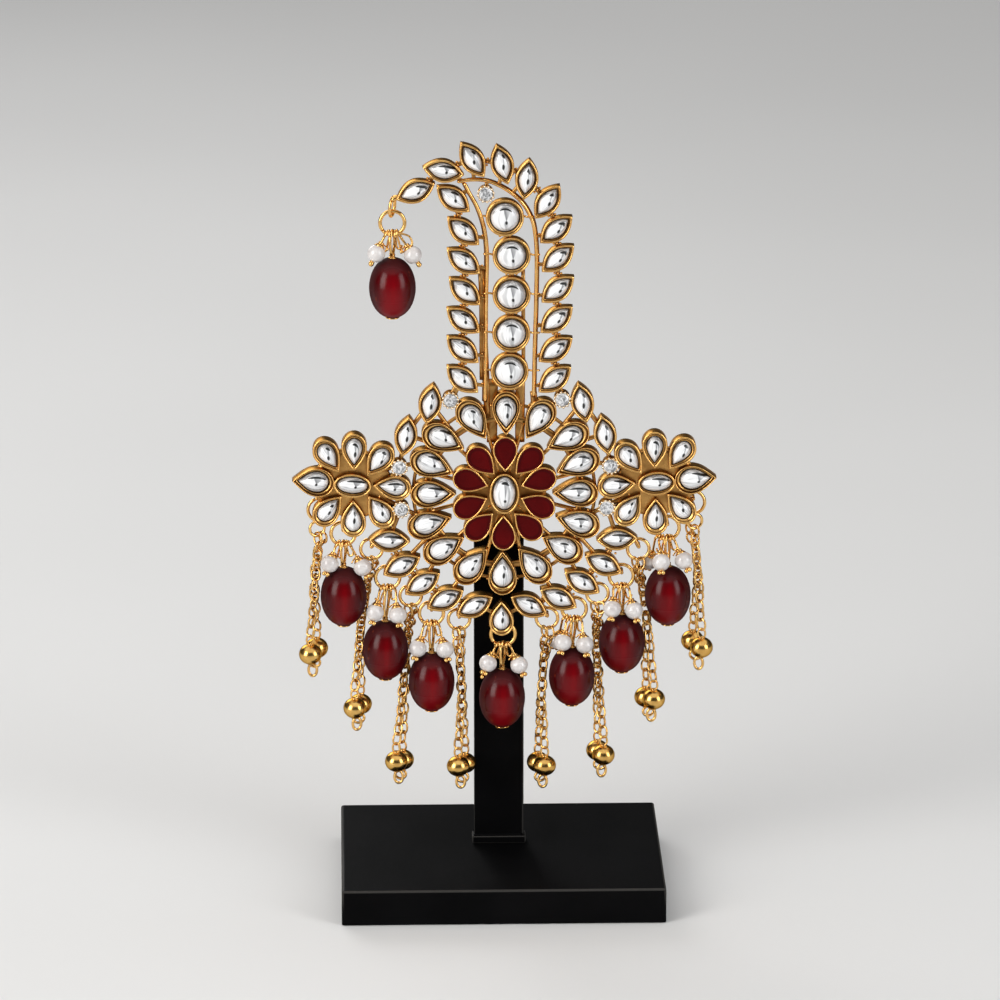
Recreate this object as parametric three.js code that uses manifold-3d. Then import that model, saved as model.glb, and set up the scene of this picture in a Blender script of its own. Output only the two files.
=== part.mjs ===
// Turban brooch on its plain display stand.
// Millimetres, +Z up, +X to the wearer's left, the brooch faces -Y.
// Origin: centre of the underside of the stand's base.
import * as THREE from 'three';
import { mergeVertices } from 'three/addons/utils/BufferGeometryUtils.js';
import Module from 'manifold-3d';

const wasm = await Module();
wasm.setup();

// ---------------------------------------------------------------- dimensions
// stand
const BASE_W = 75, BASE_D = 59.4, BASE_H = 8.3, BASE_EDGE = 0.8;
const POST_W = 11.6, POST_T = 3, POST_FRONT = 2.2, POST_TOP = 91, POST_EDGE = 0.6;
const COLLAR = { width: 12.6, thick: 4.4, height: 1.6 };
// depths of the brooch, as Y
const RIM_Y = -8;          // front edge of every cell
const CELL_BACK = -4.5;    // back of the deep cells
const CREST_BACK = -5.4;   // back of the thin crest cells
const STRIP = { front: -6.3, back: -5.2 };         // flat strips between the deep cells
const CREST_STRIP = { front: -6.7, back: -5.9 };   // flat strips between the crest cells
const HANG_Y = -3.6;       // plane of the jump rings and of the bead centres
const AXIS_X = 0.6, AXIS_Z = 97.1, LEAN = 0.0214;  // the brooch's own mirror line
const GAP = 0.3;
// half length and half width of each kind of cell, over its rim
const CELLS = {
  leaf:     { shape: 'leaf', a: 4.8,  b: 2.65 },
  drop:     { shape: 'tear', a: 5.3,  b: 3.3 },
  petal:    { shape: 'tear', a: 4.45, b: 2.95 },
  wing:     { shape: 'tear', a: 4.85, b: 3.4 },
  foot:     { shape: 'tear', a: 4.2,  b: 2.85 },
  enamel:   { shape: 'tear', a: 4.27, b: 2.87 },
  round:    { shape: 'oval', a: 4.35, b: 4.35 },
  spark:    { shape: 'oval', a: 2.1,  b: 2.1 },
  heart:    { shape: 'oval', a: 4.85, b: 3.5 },
  eyeleaf:  { shape: 'oval', a: 4.5,  b: 2.8 },
};
const STONE_SEAT = 1.1;    // width of the rim round a seated stone
// drops
const RING = { r: 2.8, wire: 0.43 };
const CHAIN_RING = { r: 2.5, wire: 0.4 };
const BEAD = { r: 5.35, half: 7.15, bail: 0.35 };
const PEARL = { r: 2.0, pin: 0.3, ball: 0.6 };
const CHAIN_R = 1.0, BALL_R = 2.42, BALL_WIDE = 1.1, LOOP_R = 0.75, LOOP_H = 2.6;
const FRONT_BALL_Y = -5.8, BACK_BALL_Y = -0.6;
// eye that carries the tip pendant
const TIP = { x: -24.8, z: 160.5 };
const EYE = { wire: 0.42, halfHeight: 2.2, halfDepth: 1.3 };

// -------------------------------------------------------------------- tables
// crest: one row a cell, aim = direction of its long axis in degrees
const crestLeaves = [
  // x,     z,     aim
  [-19.52, 168.78, 23], [-13.23, 173.5, 169], [-6.62, 176.04, 124], [0.12, 174.92, 106],
  [5.69, 171.48, 82], [10.4, 166.18, 54], [12.39, 159.68, 40], [12.81, 152.9, 40],
  [12.79, 145.63, 39], [12.53, 138.52, 40], [12.32, 131.4, 36], [12.16, 124.35, 39],
].map(([x, z, aim]) => ({ x, z, aim }));
const innerLeaves = [
  [-11.01, 166.97, 142], [-8.73, 159.38, 139], [-8.67, 152.37, 143], [-8.41, 145.26, 139],
  [-8.77, 138.44, 143], [-8.91, 131.53, 140], [-8.99, 124.49, 139],
].map(([x, z, aim]) => ({ x, z, aim }));
const crestRounds = [[0.72, 162.53], [2.24, 153.6], [2.24, 144.36], [2.18, 135.19], [1.8, 126.26]]
  .map(([x, z]) => ({ x, z }));
const rightRail = [[-9.7, 170.9], [-6.5, 171.3], [-3.3, 171.0], [-0.2, 169.7], [2.4, 168.0],
  [4.6, 165.9], [6.2, 163.3], [7.3, 160.3], [7.9, 154.1], [7.8, 143], [7.5, 131.2], [7.3, 120]];
const leftRail = [[-8.3, 170.2], [-7.2, 168.0], [-5.7, 165.3], [-4.6, 162.4], [-3.8, 159.1],
  [-3.3, 153.7], [-3.5, 143.1], [-3.6, 131.3], [-3.8, 118.9]];

// round the medallion: polar places for the right half, mirrored to the left;
// point = direction of the cell's tip
const drops = [
  // radius, place, point
  [19.28, 90, 270], [19.17, 67.3, 238], [19.37, 42.7, 206.3], [18.16, 22.6, 202.8], [16.34, 0, 180],
  [18.45, -22.8, 163.5], [18.8, -44, 150.2], [18.6, -67.8, 130.3], [19.1, -90, 90],
].map(([radius, place, point]) => ({ radius, place, point, kind: 'drop' }));
const enamels = [
  [9.5, 90, 270], [9.37, 55.6, 226], [8.4, 22, 197], [8.2, -20.1, 155], [9.4, -54.5, 135], [9.34, -90, 90],
].map(([radius, place, point]) => ({ radius, place, point, kind: 'enamel' }));

// mirrored cells of the shoulders and the lower edge: side = distance from the mirror line
const sideCells = [
  // kind,  side,  z,      aim
  ['spark', 12.8, 119.5, 0], ['leaf', 17.45, 118.6, 101.5], ['leaf', 22.85, 110.9, 100.5],
  ['spark', 24.25, 103.55, 0], ['spark', 23.65, 93.5, 0], ['leaf', 26.25, 85.9, 2.5],
  ['leaf', 23.25, 79.87, 153.7], ['leaf', 18.4, 75.55, 147.7], ['leaf', 13.05, 71.67, 152.6], ['leaf', 6.28, 69.95, 151.6],
].map(([kind, side, z, aim]) => ({ kind, side, z, aim }));

// flower at each side, drawn for the right one about its own centre
const FLOWER_SIDE = 34.95, FLOWER_Z = 99.28;
const flower = [
  // kind,    dx,    dz,    point
  ['eyeleaf', 0, 0, 4], ['wing', 9, 0.9, 4.5], ['petal', 5.43, 7.02, 236],
  ['petal', -0.45, 8, 270], ['petal', -6.05, 5.94, 307], ['petal', -9.1, -0.5, 6.5],
  ['petal', -6.17, -6.14, 56], ['petal', -0.15, -7.92, 90], ['petal', 5.45, -5.8, 131],
].map(([kind, dx, dz, point]) => ({ kind, dx, dz, point }));

// drops: ring centre, bead centre, and the two or three pearls of each
const pendants = [
  // ring x, ring z, bead x, bead z, pearls as [x, y, z]
  [TIP.x, TIP.z, -24.85, 145.3, [[-28.5, -5, 153.7], [-20.2, -5, 153.3]]],
  [-36.5, 86.6, -36.5, 71.5, [[-39.7, -5.2, 79.8], [-32.1, -5.2, 78.9]]],
  [-26.3, 75.9, -26.9, 58.3, [[-29.3, -5.2, 67.9], [-24, -5.6, 67.4]]],
  [-16.2, 67.1, -16.2, 50.5, [[-19.4, -5.2, 59.1], [-13.1, -5.2, 58.75]]],
  [0.4, 61.9, 0.2, 46.4, [[-3.1, -5.2, 55.3], [4.1, -5.2, 54.8]]],
  [16.9, 67.9, 16.4, 51.6, [[14.2, -5.7, 60.4], [19.3, -5.7, 59.8], [13.1, -0.2, 59.2]]],
  [27.8, 75.8, 28, 59.6, [[25.6, -6.1, 68.6], [30.7, -5.7, 68.05]]],
  [38.3, 87.4, 38.6, 71.1, [[36.8, -7, 80.1], [42.1, -5.6, 80.1], [34.6, -0.2, 78.4]]],
].map(([ringX, ringZ, beadX, beadZ, pearls]) => ({ ringX, ringZ, beadX, beadZ, pearls }));

// chain tassels: ring, then the two balls; a middle point bends the strands round the beads
const tassels = [
  // ring x, z, size,       middle x, z, front y, back y,   front ball x, z, back ball x, z
  [-41.8, 92.4, 2.75, -43.2, 74, -5.2, -1.6, -44.3, 58.1, -42.85, 57.9],
  [-30, 82.8, 2.5, -32.6, 63, -1.6, 0.8, -34.1, 44.8, -32.75, 44.05],
  [-21, 71.4, 2.5, -22.2, 54, -1.6, 0.8, -24.5, 31.6, -23, 30.2],
  [-9.8, 65.6, 2.5, -9.2, 48, -4.6, -1.8, -10.1, 30.3, -8.45, 29.25],
  [10.6, 65.7, 2.5, 9.4, 48, -4.6, -1.8, 10.05, 30.3, 8.7, 29.35],
  [22.3, 71.6, 2.5, 22.4, 55, -1.6, 0.8, 23.75, 32.8, 22.6, 32.15],
  [31.7, 82.3, 2.5, 33.8, 66, -1.6, 0.8, 35.4, 46.4, 33.8, 45.2],
  [44.2, 93.5, 2.75, 45.6, 76, -5.2, -1.6, 46.4, 59, 44.6, 59],
].map(([x, z, size, midX, midZ, midFront, midBack, frontX, frontZ, backX, backZ]) =>
  ({ x, z, size, midX, midZ, midFront, midBack, frontX, frontZ, backX, backZ }));

// where each ring's peg is soldered to the cell above it
const pegAnchors = {
  drop: [null, [-35.4, 90.2], [-25.2, 78.9], [-15.2, 70.8], [0.2, 66.5], [15.8, 70.7], [26.3, 79.0], [36.9, 90.4]],
  chain: [[-40.4, 94.3], [-28.8, 86.0], [-20.8, 74.4], [-9.0, 68.7], [9.2, 68.8], [21.2, 74.4], [30.2, 86.5], [42.0, 94.7]],
};

// ------------------------------------------------------------------- helpers
const { PI, cos, sin, hypot, atan2, sqrt } = Math;
const rad = (d) => (d * PI) / 180;
const axisAt = (z) => AXIS_X + LEAN * (z - AXIS_Z);

function solid(geometry) {
  const g = geometry.index ? geometry.clone() : mergeVertices(geometry.clone());
  for (const k of Object.keys(g.attributes)) if (k !== 'position') g.deleteAttribute(k);
  const m = mergeVertices(g, 1e-4);
  const tri = [];
  const ix = m.index.array;
  for (let i = 0; i < ix.length; i += 3) {
    if (ix[i] !== ix[i + 1] && ix[i + 1] !== ix[i + 2] && ix[i] !== ix[i + 2]) tri.push(ix[i], ix[i + 1], ix[i + 2]);
  }
  return new wasm.Manifold(new wasm.Mesh({
    numProp: 3,
    vertProperties: new Float32Array(m.attributes.position.array),
    triVerts: new Uint32Array(tri),
  }));
}
function joined(solids) {
  let list = solids;
  while (list.length > 1) {
    const next = [];
    for (let i = 0; i < list.length; i += 2) next.push(i + 1 < list.length ? list[i].add(list[i + 1]) : list[i]);
    list = next;
  }
  return list[0];
}
function geometryOf(body) {
  const mesh = body.getMesh();
  const g = new THREE.BufferGeometry();
  const n = mesh.vertProperties.length / mesh.numProp;
  const p = new Float32Array(n * 3);
  for (let i = 0; i < n; i++) for (let k = 0; k < 3; k++) p[3 * i + k] = mesh.vertProperties[i * mesh.numProp + k];
  g.setAttribute('position', new THREE.BufferAttribute(p, 3));
  g.setIndex(new THREE.BufferAttribute(new Uint32Array(mesh.triVerts), 1));
  g.computeVertexNormals();
  return g;
}

// outline of one cell, long axis along +X, tip of a tear at +X
function outline(shape, a, b) {
  const s = new THREE.Shape();
  if (shape === 'leaf') {
    s.moveTo(a, 0);
    s.quadraticCurveTo(0, 2 * b, -a, 0);
    s.quadraticCurveTo(0, -2 * b, a, 0);
  } else if (shape === 'tear') {
    const c = -(a - b) * 0.82;            // where the round end is widest
    s.moveTo(a, 0);
    s.bezierCurveTo(0.6 * a, 0.52 * b, c + 0.75 * b, b, c, b);
    s.bezierCurveTo(c - 0.55 * b, b, -a, 0.56 * b, -a, 0);
    s.bezierCurveTo(-a, -0.56 * b, c - 0.55 * b, -b, c, -b);
    s.bezierCurveTo(c + 0.75 * b, -b, 0.6 * a, -0.52 * b, a, 0);
  } else {
    s.absellipse(0, 0, a, b, 0, 2 * PI, false, 0);
  }
  return s;
}
const segments = { leaf: 4, tear: 2, oval: 6 };

// a plain cell: outline from its back to its rim, turned to face -Y
function cell(kind, x, z, aim, back = CELL_BACK, front = RIM_Y) {
  const { shape, a, b } = CELLS[kind];
  const sides = kind === 'spark' ? 4 : segments[shape];
  const g = new THREE.ExtrudeGeometry(outline(shape, a, b), {
    depth: back - front, bevelEnabled: false, curveSegments: sides, steps: 1,
  });
  g.rotateZ(rad(aim));
  g.rotateX(PI / 2);
  g.translate(x, back, z);
  return solid(g);
}
// flat strip between two points of the brooch
function strip(x1, z1, x2, z2, width, span) {
  const len = hypot(x2 - x1, z2 - z1);
  const g = new THREE.BoxGeometry(len, span.back - span.front, width);
  g.rotateY(-atan2(z2 - z1, x2 - x1));
  g.translate((x1 + x2) / 2, (span.front + span.back) / 2, (z1 + z2) / 2);
  return solid(g);
}
// flat plate behind a group of cells
function plate(x, z, rx, rz, sides, span) {
  const s = new THREE.Shape();
  for (let i = 0; i < sides; i++) {
    const t = (2 * PI * i) / sides;
    if (i) s.lineTo(rx * cos(t), rz * sin(t)); else s.moveTo(rx * cos(t), rz * sin(t));
  }
  const g = new THREE.ExtrudeGeometry(s, { depth: span.back - span.front, bevelEnabled: false, steps: 1 });
  g.rotateX(PI / 2);
  g.translate(x, span.back, z);
  return solid(g);
}
function strips(points, width, span) {
  const out = [];
  for (let i = 1; i < points.length; i++) {
    out.push(strip(points[i - 1][0], points[i - 1][1], points[i][0], points[i][1], width, span));
  }
  return out;
}
// round section swept along points [x, y, z]
function swept(points, radius, sides, steps, closed = false) {
  const path = new THREE.CatmullRomCurve3(points.map((p) => new THREE.Vector3(...p)), closed);
  const section = new THREE.Shape();
  for (let i = 0; i < sides; i++) {
    const t = (2 * PI * (i + 0.5)) / sides;
    if (i) section.lineTo(radius * cos(t), radius * sin(t)); else section.moveTo(radius * cos(t), radius * sin(t));
  }
  return solid(new THREE.ExtrudeGeometry(section, { steps, extrudePath: path, bevelEnabled: false, curveSegments: 1 }));
}
// rod between two points
function rod(p, q, r1, r2 = r1, sides = 6) {
  const a = new THREE.Vector3(...p), b = new THREE.Vector3(...q);
  const d = b.clone().sub(a);
  const g = new THREE.CylinderGeometry(r2, r1, d.length(), sides);
  g.applyQuaternion(new THREE.Quaternion().setFromUnitVectors(new THREE.Vector3(0, 1, 0), d.clone().normalize()));
  g.translate((a.x + b.x) / 2, (a.y + b.y) / 2, (a.z + b.z) / 2);
  return solid(g);
}
function ball(x, y, z, r, around = 8, rows = 6, wide = 1) {
  const g = new THREE.SphereGeometry(r, around, rows);
  g.rotateX(PI / 2);
  g.scale(wide, wide, 1);
  g.translate(x, y, z);
  return solid(g);
}
// oval wire loop in the plane across X
function loop(x, y, z, halfDepth, halfHeight, wire, around = 8, sides = 4) {
  const g = new THREE.TorusGeometry(1, 0.001, sides, around);
  const p = g.attributes.position;
  for (let i = 0; i <= sides; i++) {
    for (let j = 0; j <= around; j++) {
      const k = i * (around + 1) + j;
      const u = (2 * PI * j) / around, v = (2 * PI * i) / sides + PI / 4;
      const n = new THREE.Vector2(cos(u) / halfDepth, sin(u) / halfHeight).normalize();
      p.setXYZ(k, x + wire * sin(v), y + halfDepth * cos(u) + wire * cos(v) * n.x,
        z + halfHeight * sin(u) + wire * cos(v) * n.y);
    }
  }
  return solid(g);
}
function ringBody(x, z, r, wire) {
  const g = new THREE.TorusGeometry(r, wire, 4, 10);
  g.rotateX(PI / 2);
  g.translate(x, HANG_Y, z);
  return solid(g);
}

// ----------------------------------------------------------------- materials
const look = (color, roughness, metalness) => () => new THREE.MeshStandardMaterial({ color, roughness, metalness });
const gold = look(0xb98a3e, 0.32, 1);
const brightGold = look(0xd0a14c, 0.22, 1);
const black = look(0x0b0b0c, 0.45, 0);
const glassRed = look(0x5e0712, 0.18, 0);
const foiled = look(0xdfe2e4, 0.08, 0.1);
const pearly = look(0xe9e4e0, 0.28, 0);

const brooch = new THREE.Group();
function put(name, body, material) {
  const mesh = new THREE.Mesh(geometryOf(body), material());
  mesh.name = name;
  brooch.add(mesh);
}

// --------------------------------------------------------------------- stand
{
  const e = BASE_EDGE;
  const plan = new THREE.Shape();
  plan.moveTo(-BASE_W / 2 + e, -BASE_D / 2 + e);
  plan.lineTo(BASE_W / 2 - e, -BASE_D / 2 + e);
  plan.lineTo(BASE_W / 2 - e, BASE_D / 2 - e);
  plan.lineTo(-BASE_W / 2 + e, BASE_D / 2 - e);
  plan.closePath();
  const slab = new THREE.ExtrudeGeometry(plan, {
    depth: BASE_H - e, bevelEnabled: true, bevelThickness: e, bevelSize: e, bevelSegments: 1, curveSegments: 1,
  });
  slab.translate(0, 0, e);
  // the bevel is kept on the upper edge only: the underside is square and flat
  const lower = new THREE.BoxGeometry(BASE_W, BASE_D, BASE_H - e);
  lower.translate(0, 0, (BASE_H - e) / 2);
  const top = solid(slab.clone().translate(0, 0, -e)).subtract(
    solid(new THREE.BoxGeometry(2 * BASE_W, 2 * BASE_D, BASE_H).translate(0, 0, BASE_H - e - BASE_H / 2 - 0.05)));
  put('stand_base', solid(lower).add(top), black);
}
{
  const postY = POST_FRONT + POST_T / 2;
  const e = POST_EDGE;
  const section = new THREE.Shape();
  section.moveTo(-POST_W / 2 + e, -POST_T / 2);
  section.lineTo(POST_W / 2 - e, -POST_T / 2);
  section.lineTo(POST_W / 2, -POST_T / 2 + e);
  section.lineTo(POST_W / 2, POST_T / 2);
  section.lineTo(-POST_W / 2, POST_T / 2);
  section.lineTo(-POST_W / 2, -POST_T / 2 + e);
  section.closePath();
  const bottom = BASE_H + GAP;
  const shaft = new THREE.ExtrudeGeometry(section, { depth: POST_TOP - bottom, bevelEnabled: false });
  shaft.translate(-0.4, postY, bottom);
  const collar = new THREE.BoxGeometry(COLLAR.width, COLLAR.thick, COLLAR.height);
  collar.translate(-0.4, postY, bottom + COLLAR.height / 2);
  put('stand_post', solid(shaft).add(solid(collar)), black);
}

// -------------------------------------------------------------- brooch frame
{
  const parts = [];
  // crest
  for (const c of crestLeaves) parts.push(cell('leaf', c.x, c.z, c.aim, CREST_BACK));
  for (const c of innerLeaves) parts.push(cell('leaf', c.x, c.z, c.aim, CREST_BACK));
  for (const c of crestRounds) parts.push(cell('round', c.x, c.z, 0, CREST_BACK));
  parts.push(cell('spark', -3.6, 168.1, 0, CREST_BACK));
  parts.push(...strips(crestLeaves.map((c) => [c.x, c.z]), 1.6, CREST_STRIP));
  parts.push(...strips(innerLeaves.map((c) => [c.x, c.z]), 1.6, CREST_STRIP));
  parts.push(...strips(crestRounds.map((c) => [c.x, c.z]), 1.6, CREST_STRIP));
  // rails either side of the round stones, with their cross wires
  for (const rail of [rightRail, leftRail]) {
    parts.push(swept(rail.map(([x, z]) => [x, -6.6, z]), 0.5, 4, rail.length - 1));
  }
  for (const c of crestRounds.slice(1)) parts.push(strip(-3.9, c.z, 8.1, c.z, 0.8, CREST_STRIP));
  parts.push(strip(-4.8, 162.8, 6.8, 162.8, 0.8, CREST_STRIP));
  for (const c of crestLeaves.slice(6)) {
    parts.push(strip(7.4, c.z - 2.2, c.x - 2, c.z - 1.2, 0.9, CREST_STRIP));
  }
  for (const c of innerLeaves.slice(1)) {
    parts.push(strip(c.x + 2, c.z - 1.4, -3.4, c.z - 2.2, 0.9, CREST_STRIP));
  }
  parts.push(strip(-13.2, 173.8, -8.5, 170.6, 0.9, CREST_STRIP));
  parts.push(strip(-11.0, 167.3, -7.6, 168.6, 0.9, CREST_STRIP));
  parts.push(strip(-3.6, 168.1, -3.3, 171.0, 0.9, CREST_STRIP));
  parts.push(strip(5.7, 171.8, 2.4, 168.0, 0.9, CREST_STRIP));
  // two long strips carry the crest down to the medallion
  parts.push(strip(-4.6, 150, -3.2, 115, 1.6, STRIP));
  parts.push(strip(7.3, 121, 7.8, 115, 1.6, STRIP));
  parts.push(strip(12.1, 124.7, axisAt(119.5) + 12.8, 119.55, 1.6, CREST_STRIP));
  parts.push(strip(-9.0, 124.8, axisAt(119.5) - 12.8, 119.55, 1.6, CREST_STRIP));

  // medallion
  const at = (radius, place, side) => {
    const z = AXIS_Z + radius * sin(rad(place));
    return [axisAt(z) + side * radius * cos(rad(place)), z];
  };
  const mirrored = (point, side) => (side > 0 ? point : 180 - point);
  for (const row of [...drops, ...enamels]) {
    for (const side of row.place === 90 || row.place === -90 ? [1] : [1, -1]) {
      const [x, z] = at(row.radius, row.place, side);
      parts.push(cell(row.kind, x, z, mirrored(row.point, side)));
    }
  }
  parts.push(cell('heart', AXIS_X, AXIS_Z, 90));
  parts.push(plate(AXIS_X, AXIS_Z, 9.6, 9.6, 20, STRIP));
  for (const side of [1, -1]) {
    const places = enamels.map((row) => at(row.radius * 1.1, row.place, side));
    parts.push(...strips(places.slice(0, 3), 1.2, STRIP), ...strips(places.slice(3), 1.2, STRIP));
  }
  const rim = (radius, count, start) => Array.from({ length: count + 1 }, (_, i) => {
    const t = rad(start + (360 * i) / count);
    return [AXIS_X + radius * cos(t), AXIS_Z + radius * sin(t)];
  });
  parts.push(...strips(rim(17.6, 16, 0), 1.6, STRIP));
  for (let i = 0; i < 4; i++) {
    const t = rad(90 * i);
    parts.push(strip(AXIS_X, AXIS_Z, AXIS_X + 17.6 * cos(t), AXIS_Z + 17.6 * sin(t), 1.4, STRIP));
  }

  // shoulders, lower edge and the two flowers
  for (const side of [1, -1]) {
    const mirror = (s, z) => [axisAt(z) + side * s, z];
    for (const c of sideCells) {
      const [x, z] = mirror(c.side, c.z);
      parts.push(cell(c.kind, x, z, mirrored(c.aim, side)));
    }
    const places = sideCells.map((c) => mirror(c.side, c.z));
    parts.push(...strips(places, 1.5, STRIP));
    parts.push(strip(...places[9], axisAt(67), 67, 1.5, STRIP));
    parts.push(strip(...places[0], ...at(19.35, 67.5, side), 1.5, STRIP));
    parts.push(strip(...places[3], ...at(18.35, 23, side), 1.5, STRIP));
    parts.push(strip(...places[4], ...at(18.55, -22, side), 1.5, STRIP));
    parts.push(strip(...places[7], ...at(18.8, -44, side), 1.5, STRIP));
    const [fx, fz] = mirror(FLOWER_SIDE, FLOWER_Z);
    parts.push(plate(fx, fz, 6.4, 5.2, 14, STRIP));
    for (const c of flower) {
      parts.push(cell(c.kind, fx + side * c.dx, fz + c.dz, mirrored(c.point, side)));
      if (c.dx || c.dz > 1) parts.push(strip(fx, fz, fx + side * c.dx * 0.8, fz + c.dz * 0.8, 1.5, STRIP));
    }
    parts.push(strip(...places[3], fx - side * 6, fz + 3, 1.5, STRIP));
    parts.push(strip(...places[4], fx - side * 6, fz - 3, 1.5, STRIP));
  }
  parts.push(cell('foot', axisAt(67), 67, 90));

  // pegs that the jump rings hang on
  const peg = (anchor, x, z, ring) => {
    const pz = z + ring.r - ring.wire - GAP - 0.6;
    parts.push(strip(anchor[0], anchor[1], x, pz, 1.0, STRIP));
    parts.push(rod([x, STRIP.front + 0.2, pz], [x, HANG_Y + 0.9, pz], 0.45, 0.45, 5));
  };
  pendants.forEach((p, i) => { if (i) peg(pegAnchors.drop[i], p.ringX, p.ringZ, RING); });
  tassels.forEach((t, i) => peg(pegAnchors.chain[i], t.x, t.z, { r: t.size, wire: CHAIN_RING.wire }));

  // the tip pendant's eye
  const eyeZ = TIP.z + RING.r - RING.wire - GAP - EYE.wire - 0.05 + EYE.halfHeight;
  parts.push(loop(TIP.x, HANG_Y, eyeZ, EYE.halfDepth, EYE.halfHeight, EYE.wire, 10, 5));
  parts.push(strip(TIP.x - 0.3, eyeZ + EYE.halfHeight + 0.1, -21.5, 168.2, 0.9, { front: -6.4, back: -5.2 }));
  parts.push(strip(TIP.x - 0.42, eyeZ + EYE.halfHeight, TIP.x + 0.42, eyeZ + EYE.halfHeight + 0.05, 0.8, { front: -6.4, back: HANG_Y }));

  let frame = joined(parts);
  // seats of the stones that are pieces of their own
  const seat = (kind, x, z, aim, depth) => {
    const { a, b, shape } = CELLS[kind];
    const g = new THREE.ExtrudeGeometry(outline(shape, a - STONE_SEAT, b - STONE_SEAT), {
      depth: depth + 1, bevelEnabled: false, curveSegments: 6,
    });
    g.rotateZ(rad(aim)).rotateX(PI / 2).translate(x, RIM_Y + depth, z);
    frame = frame.subtract(solid(g));
  };
  for (const c of crestRounds) seat('round', c.x, c.z, 0, 1.4);
  seat('heart', AXIS_X, AXIS_Z, 90, 1.4);
  put('brooch_frame', frame, gold);
}

// -------------------------------------------------------------------- stones
function stone(kind, x, z, aim) {
  const { a, b } = CELLS[kind];
  const w = a - STONE_SEAT - GAP, h = b - STONE_SEAT - GAP;
  const profile = [[0, 0], [1, 0], [1, 0.55], [0.72, 1.35], [0, 1.7]].map(([r, y]) => new THREE.Vector2(r, y));
  const g = new THREE.LatheGeometry(profile, 12);   // axis +Y
  g.rotateX(PI);                                    // dome towards -Y
  g.scale(w, 1, h);
  g.rotateY(-rad(aim));
  g.translate(x, RIM_Y + 1.4 - GAP, z);
  return solid(g);
}
put('centre_stone', stone('heart', AXIS_X, AXIS_Z, 90), foiled);
crestRounds.forEach((c, i) => put(`crest_stone_${i + 1}`, stone('round', c.x, c.z, 0), foiled));

// ------------------------------------------------------------------ back pin
{
  // flat strip: leaves the medallion's back, hooks over the post and runs down behind it
  const front = CELL_BACK + GAP, behind = POST_FRONT + POST_T + GAP + 0.1;
  const side = new THREE.Shape();
  side.moveTo(front, 84);
  side.lineTo(front, POST_TOP + 2.4);
  side.lineTo(behind + 1.2, POST_TOP + 2.4);
  side.lineTo(behind + 1.2, 62);
  side.lineTo(behind, 62);
  side.lineTo(behind, POST_TOP + GAP + 0.5);
  side.lineTo(front + 1.2, POST_TOP + GAP + 0.5);
  side.lineTo(front + 1.2, 84);
  side.closePath();
  const g = new THREE.ExtrudeGeometry(side, { depth: 7, bevelEnabled: false });
  // profile is drawn in (Y, Z) and swept along X
  const p = g.attributes.position;
  for (let i = 0; i < p.count; i++) p.setXYZ(i, p.getZ(i) - 3.5 + 0.8, p.getX(i), p.getY(i));
  put('back_pin', solid(g), gold);
}

// --------------------------------------------------------------------- drops
pendants.forEach((p, i) => {
  const n = i + 1;
  put(`drop_ring_${n}`, ringBody(p.ringX, p.ringZ, RING.r, RING.wire), brightGold);

  const profile = [];
  const rows = 6;
  for (let k = 0; k <= rows; k++) {
    const t = -PI / 2 + (PI * k) / rows;
    profile.push(new THREE.Vector2(k === 0 || k === rows ? 0 : BEAD.r * cos(t), BEAD.half * sin(t)));
  }
  const egg = new THREE.LatheGeometry(profile, 10).rotateX(PI / 2).translate(p.beadX, HANG_Y, p.beadZ);
  const wireBottom = p.ringZ - RING.r;
  const bailTop = wireBottom + RING.wire + GAP + BEAD.bail + 0.1;
  const bailFoot = p.beadZ + BEAD.half - 0.8;
  const bail = loop(p.ringX, HANG_Y, (bailTop + bailFoot) / 2, 1.7, (bailTop - bailFoot) / 2, BEAD.bail, 8, 4);
  put(`drop_bead_${n}`, solid(egg).add(bail), glassRed);

  p.pearls.forEach(([x, y, z], k) => {
    const lean = rad(k === 0 ? -30 : k === 1 ? 30 : -46);
    const hook = new THREE.Vector3(p.ringX + RING.r * sin(lean), HANG_Y, p.ringZ - RING.r * cos(lean));
    const c = new THREE.Vector3(x, y, z);
    const d = hook.clone().sub(c).normalize();
    const end = hook.clone().addScaledVector(d, -(RING.wire + GAP + 0.4));
    const foot = c.clone().addScaledVector(d, -(PEARL.r + 0.35));
    const body = ball(x, y, z, PEARL.r, 8, 5)
      .add(rod(c.toArray(), end.toArray(), PEARL.pin, PEARL.pin, 4))
      .add(ball(...foot.toArray(), PEARL.ball, 5, 3));
    put(`drop_pearl_${n}${'abc'[k]}`, body, pearly);
  });
});

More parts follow.
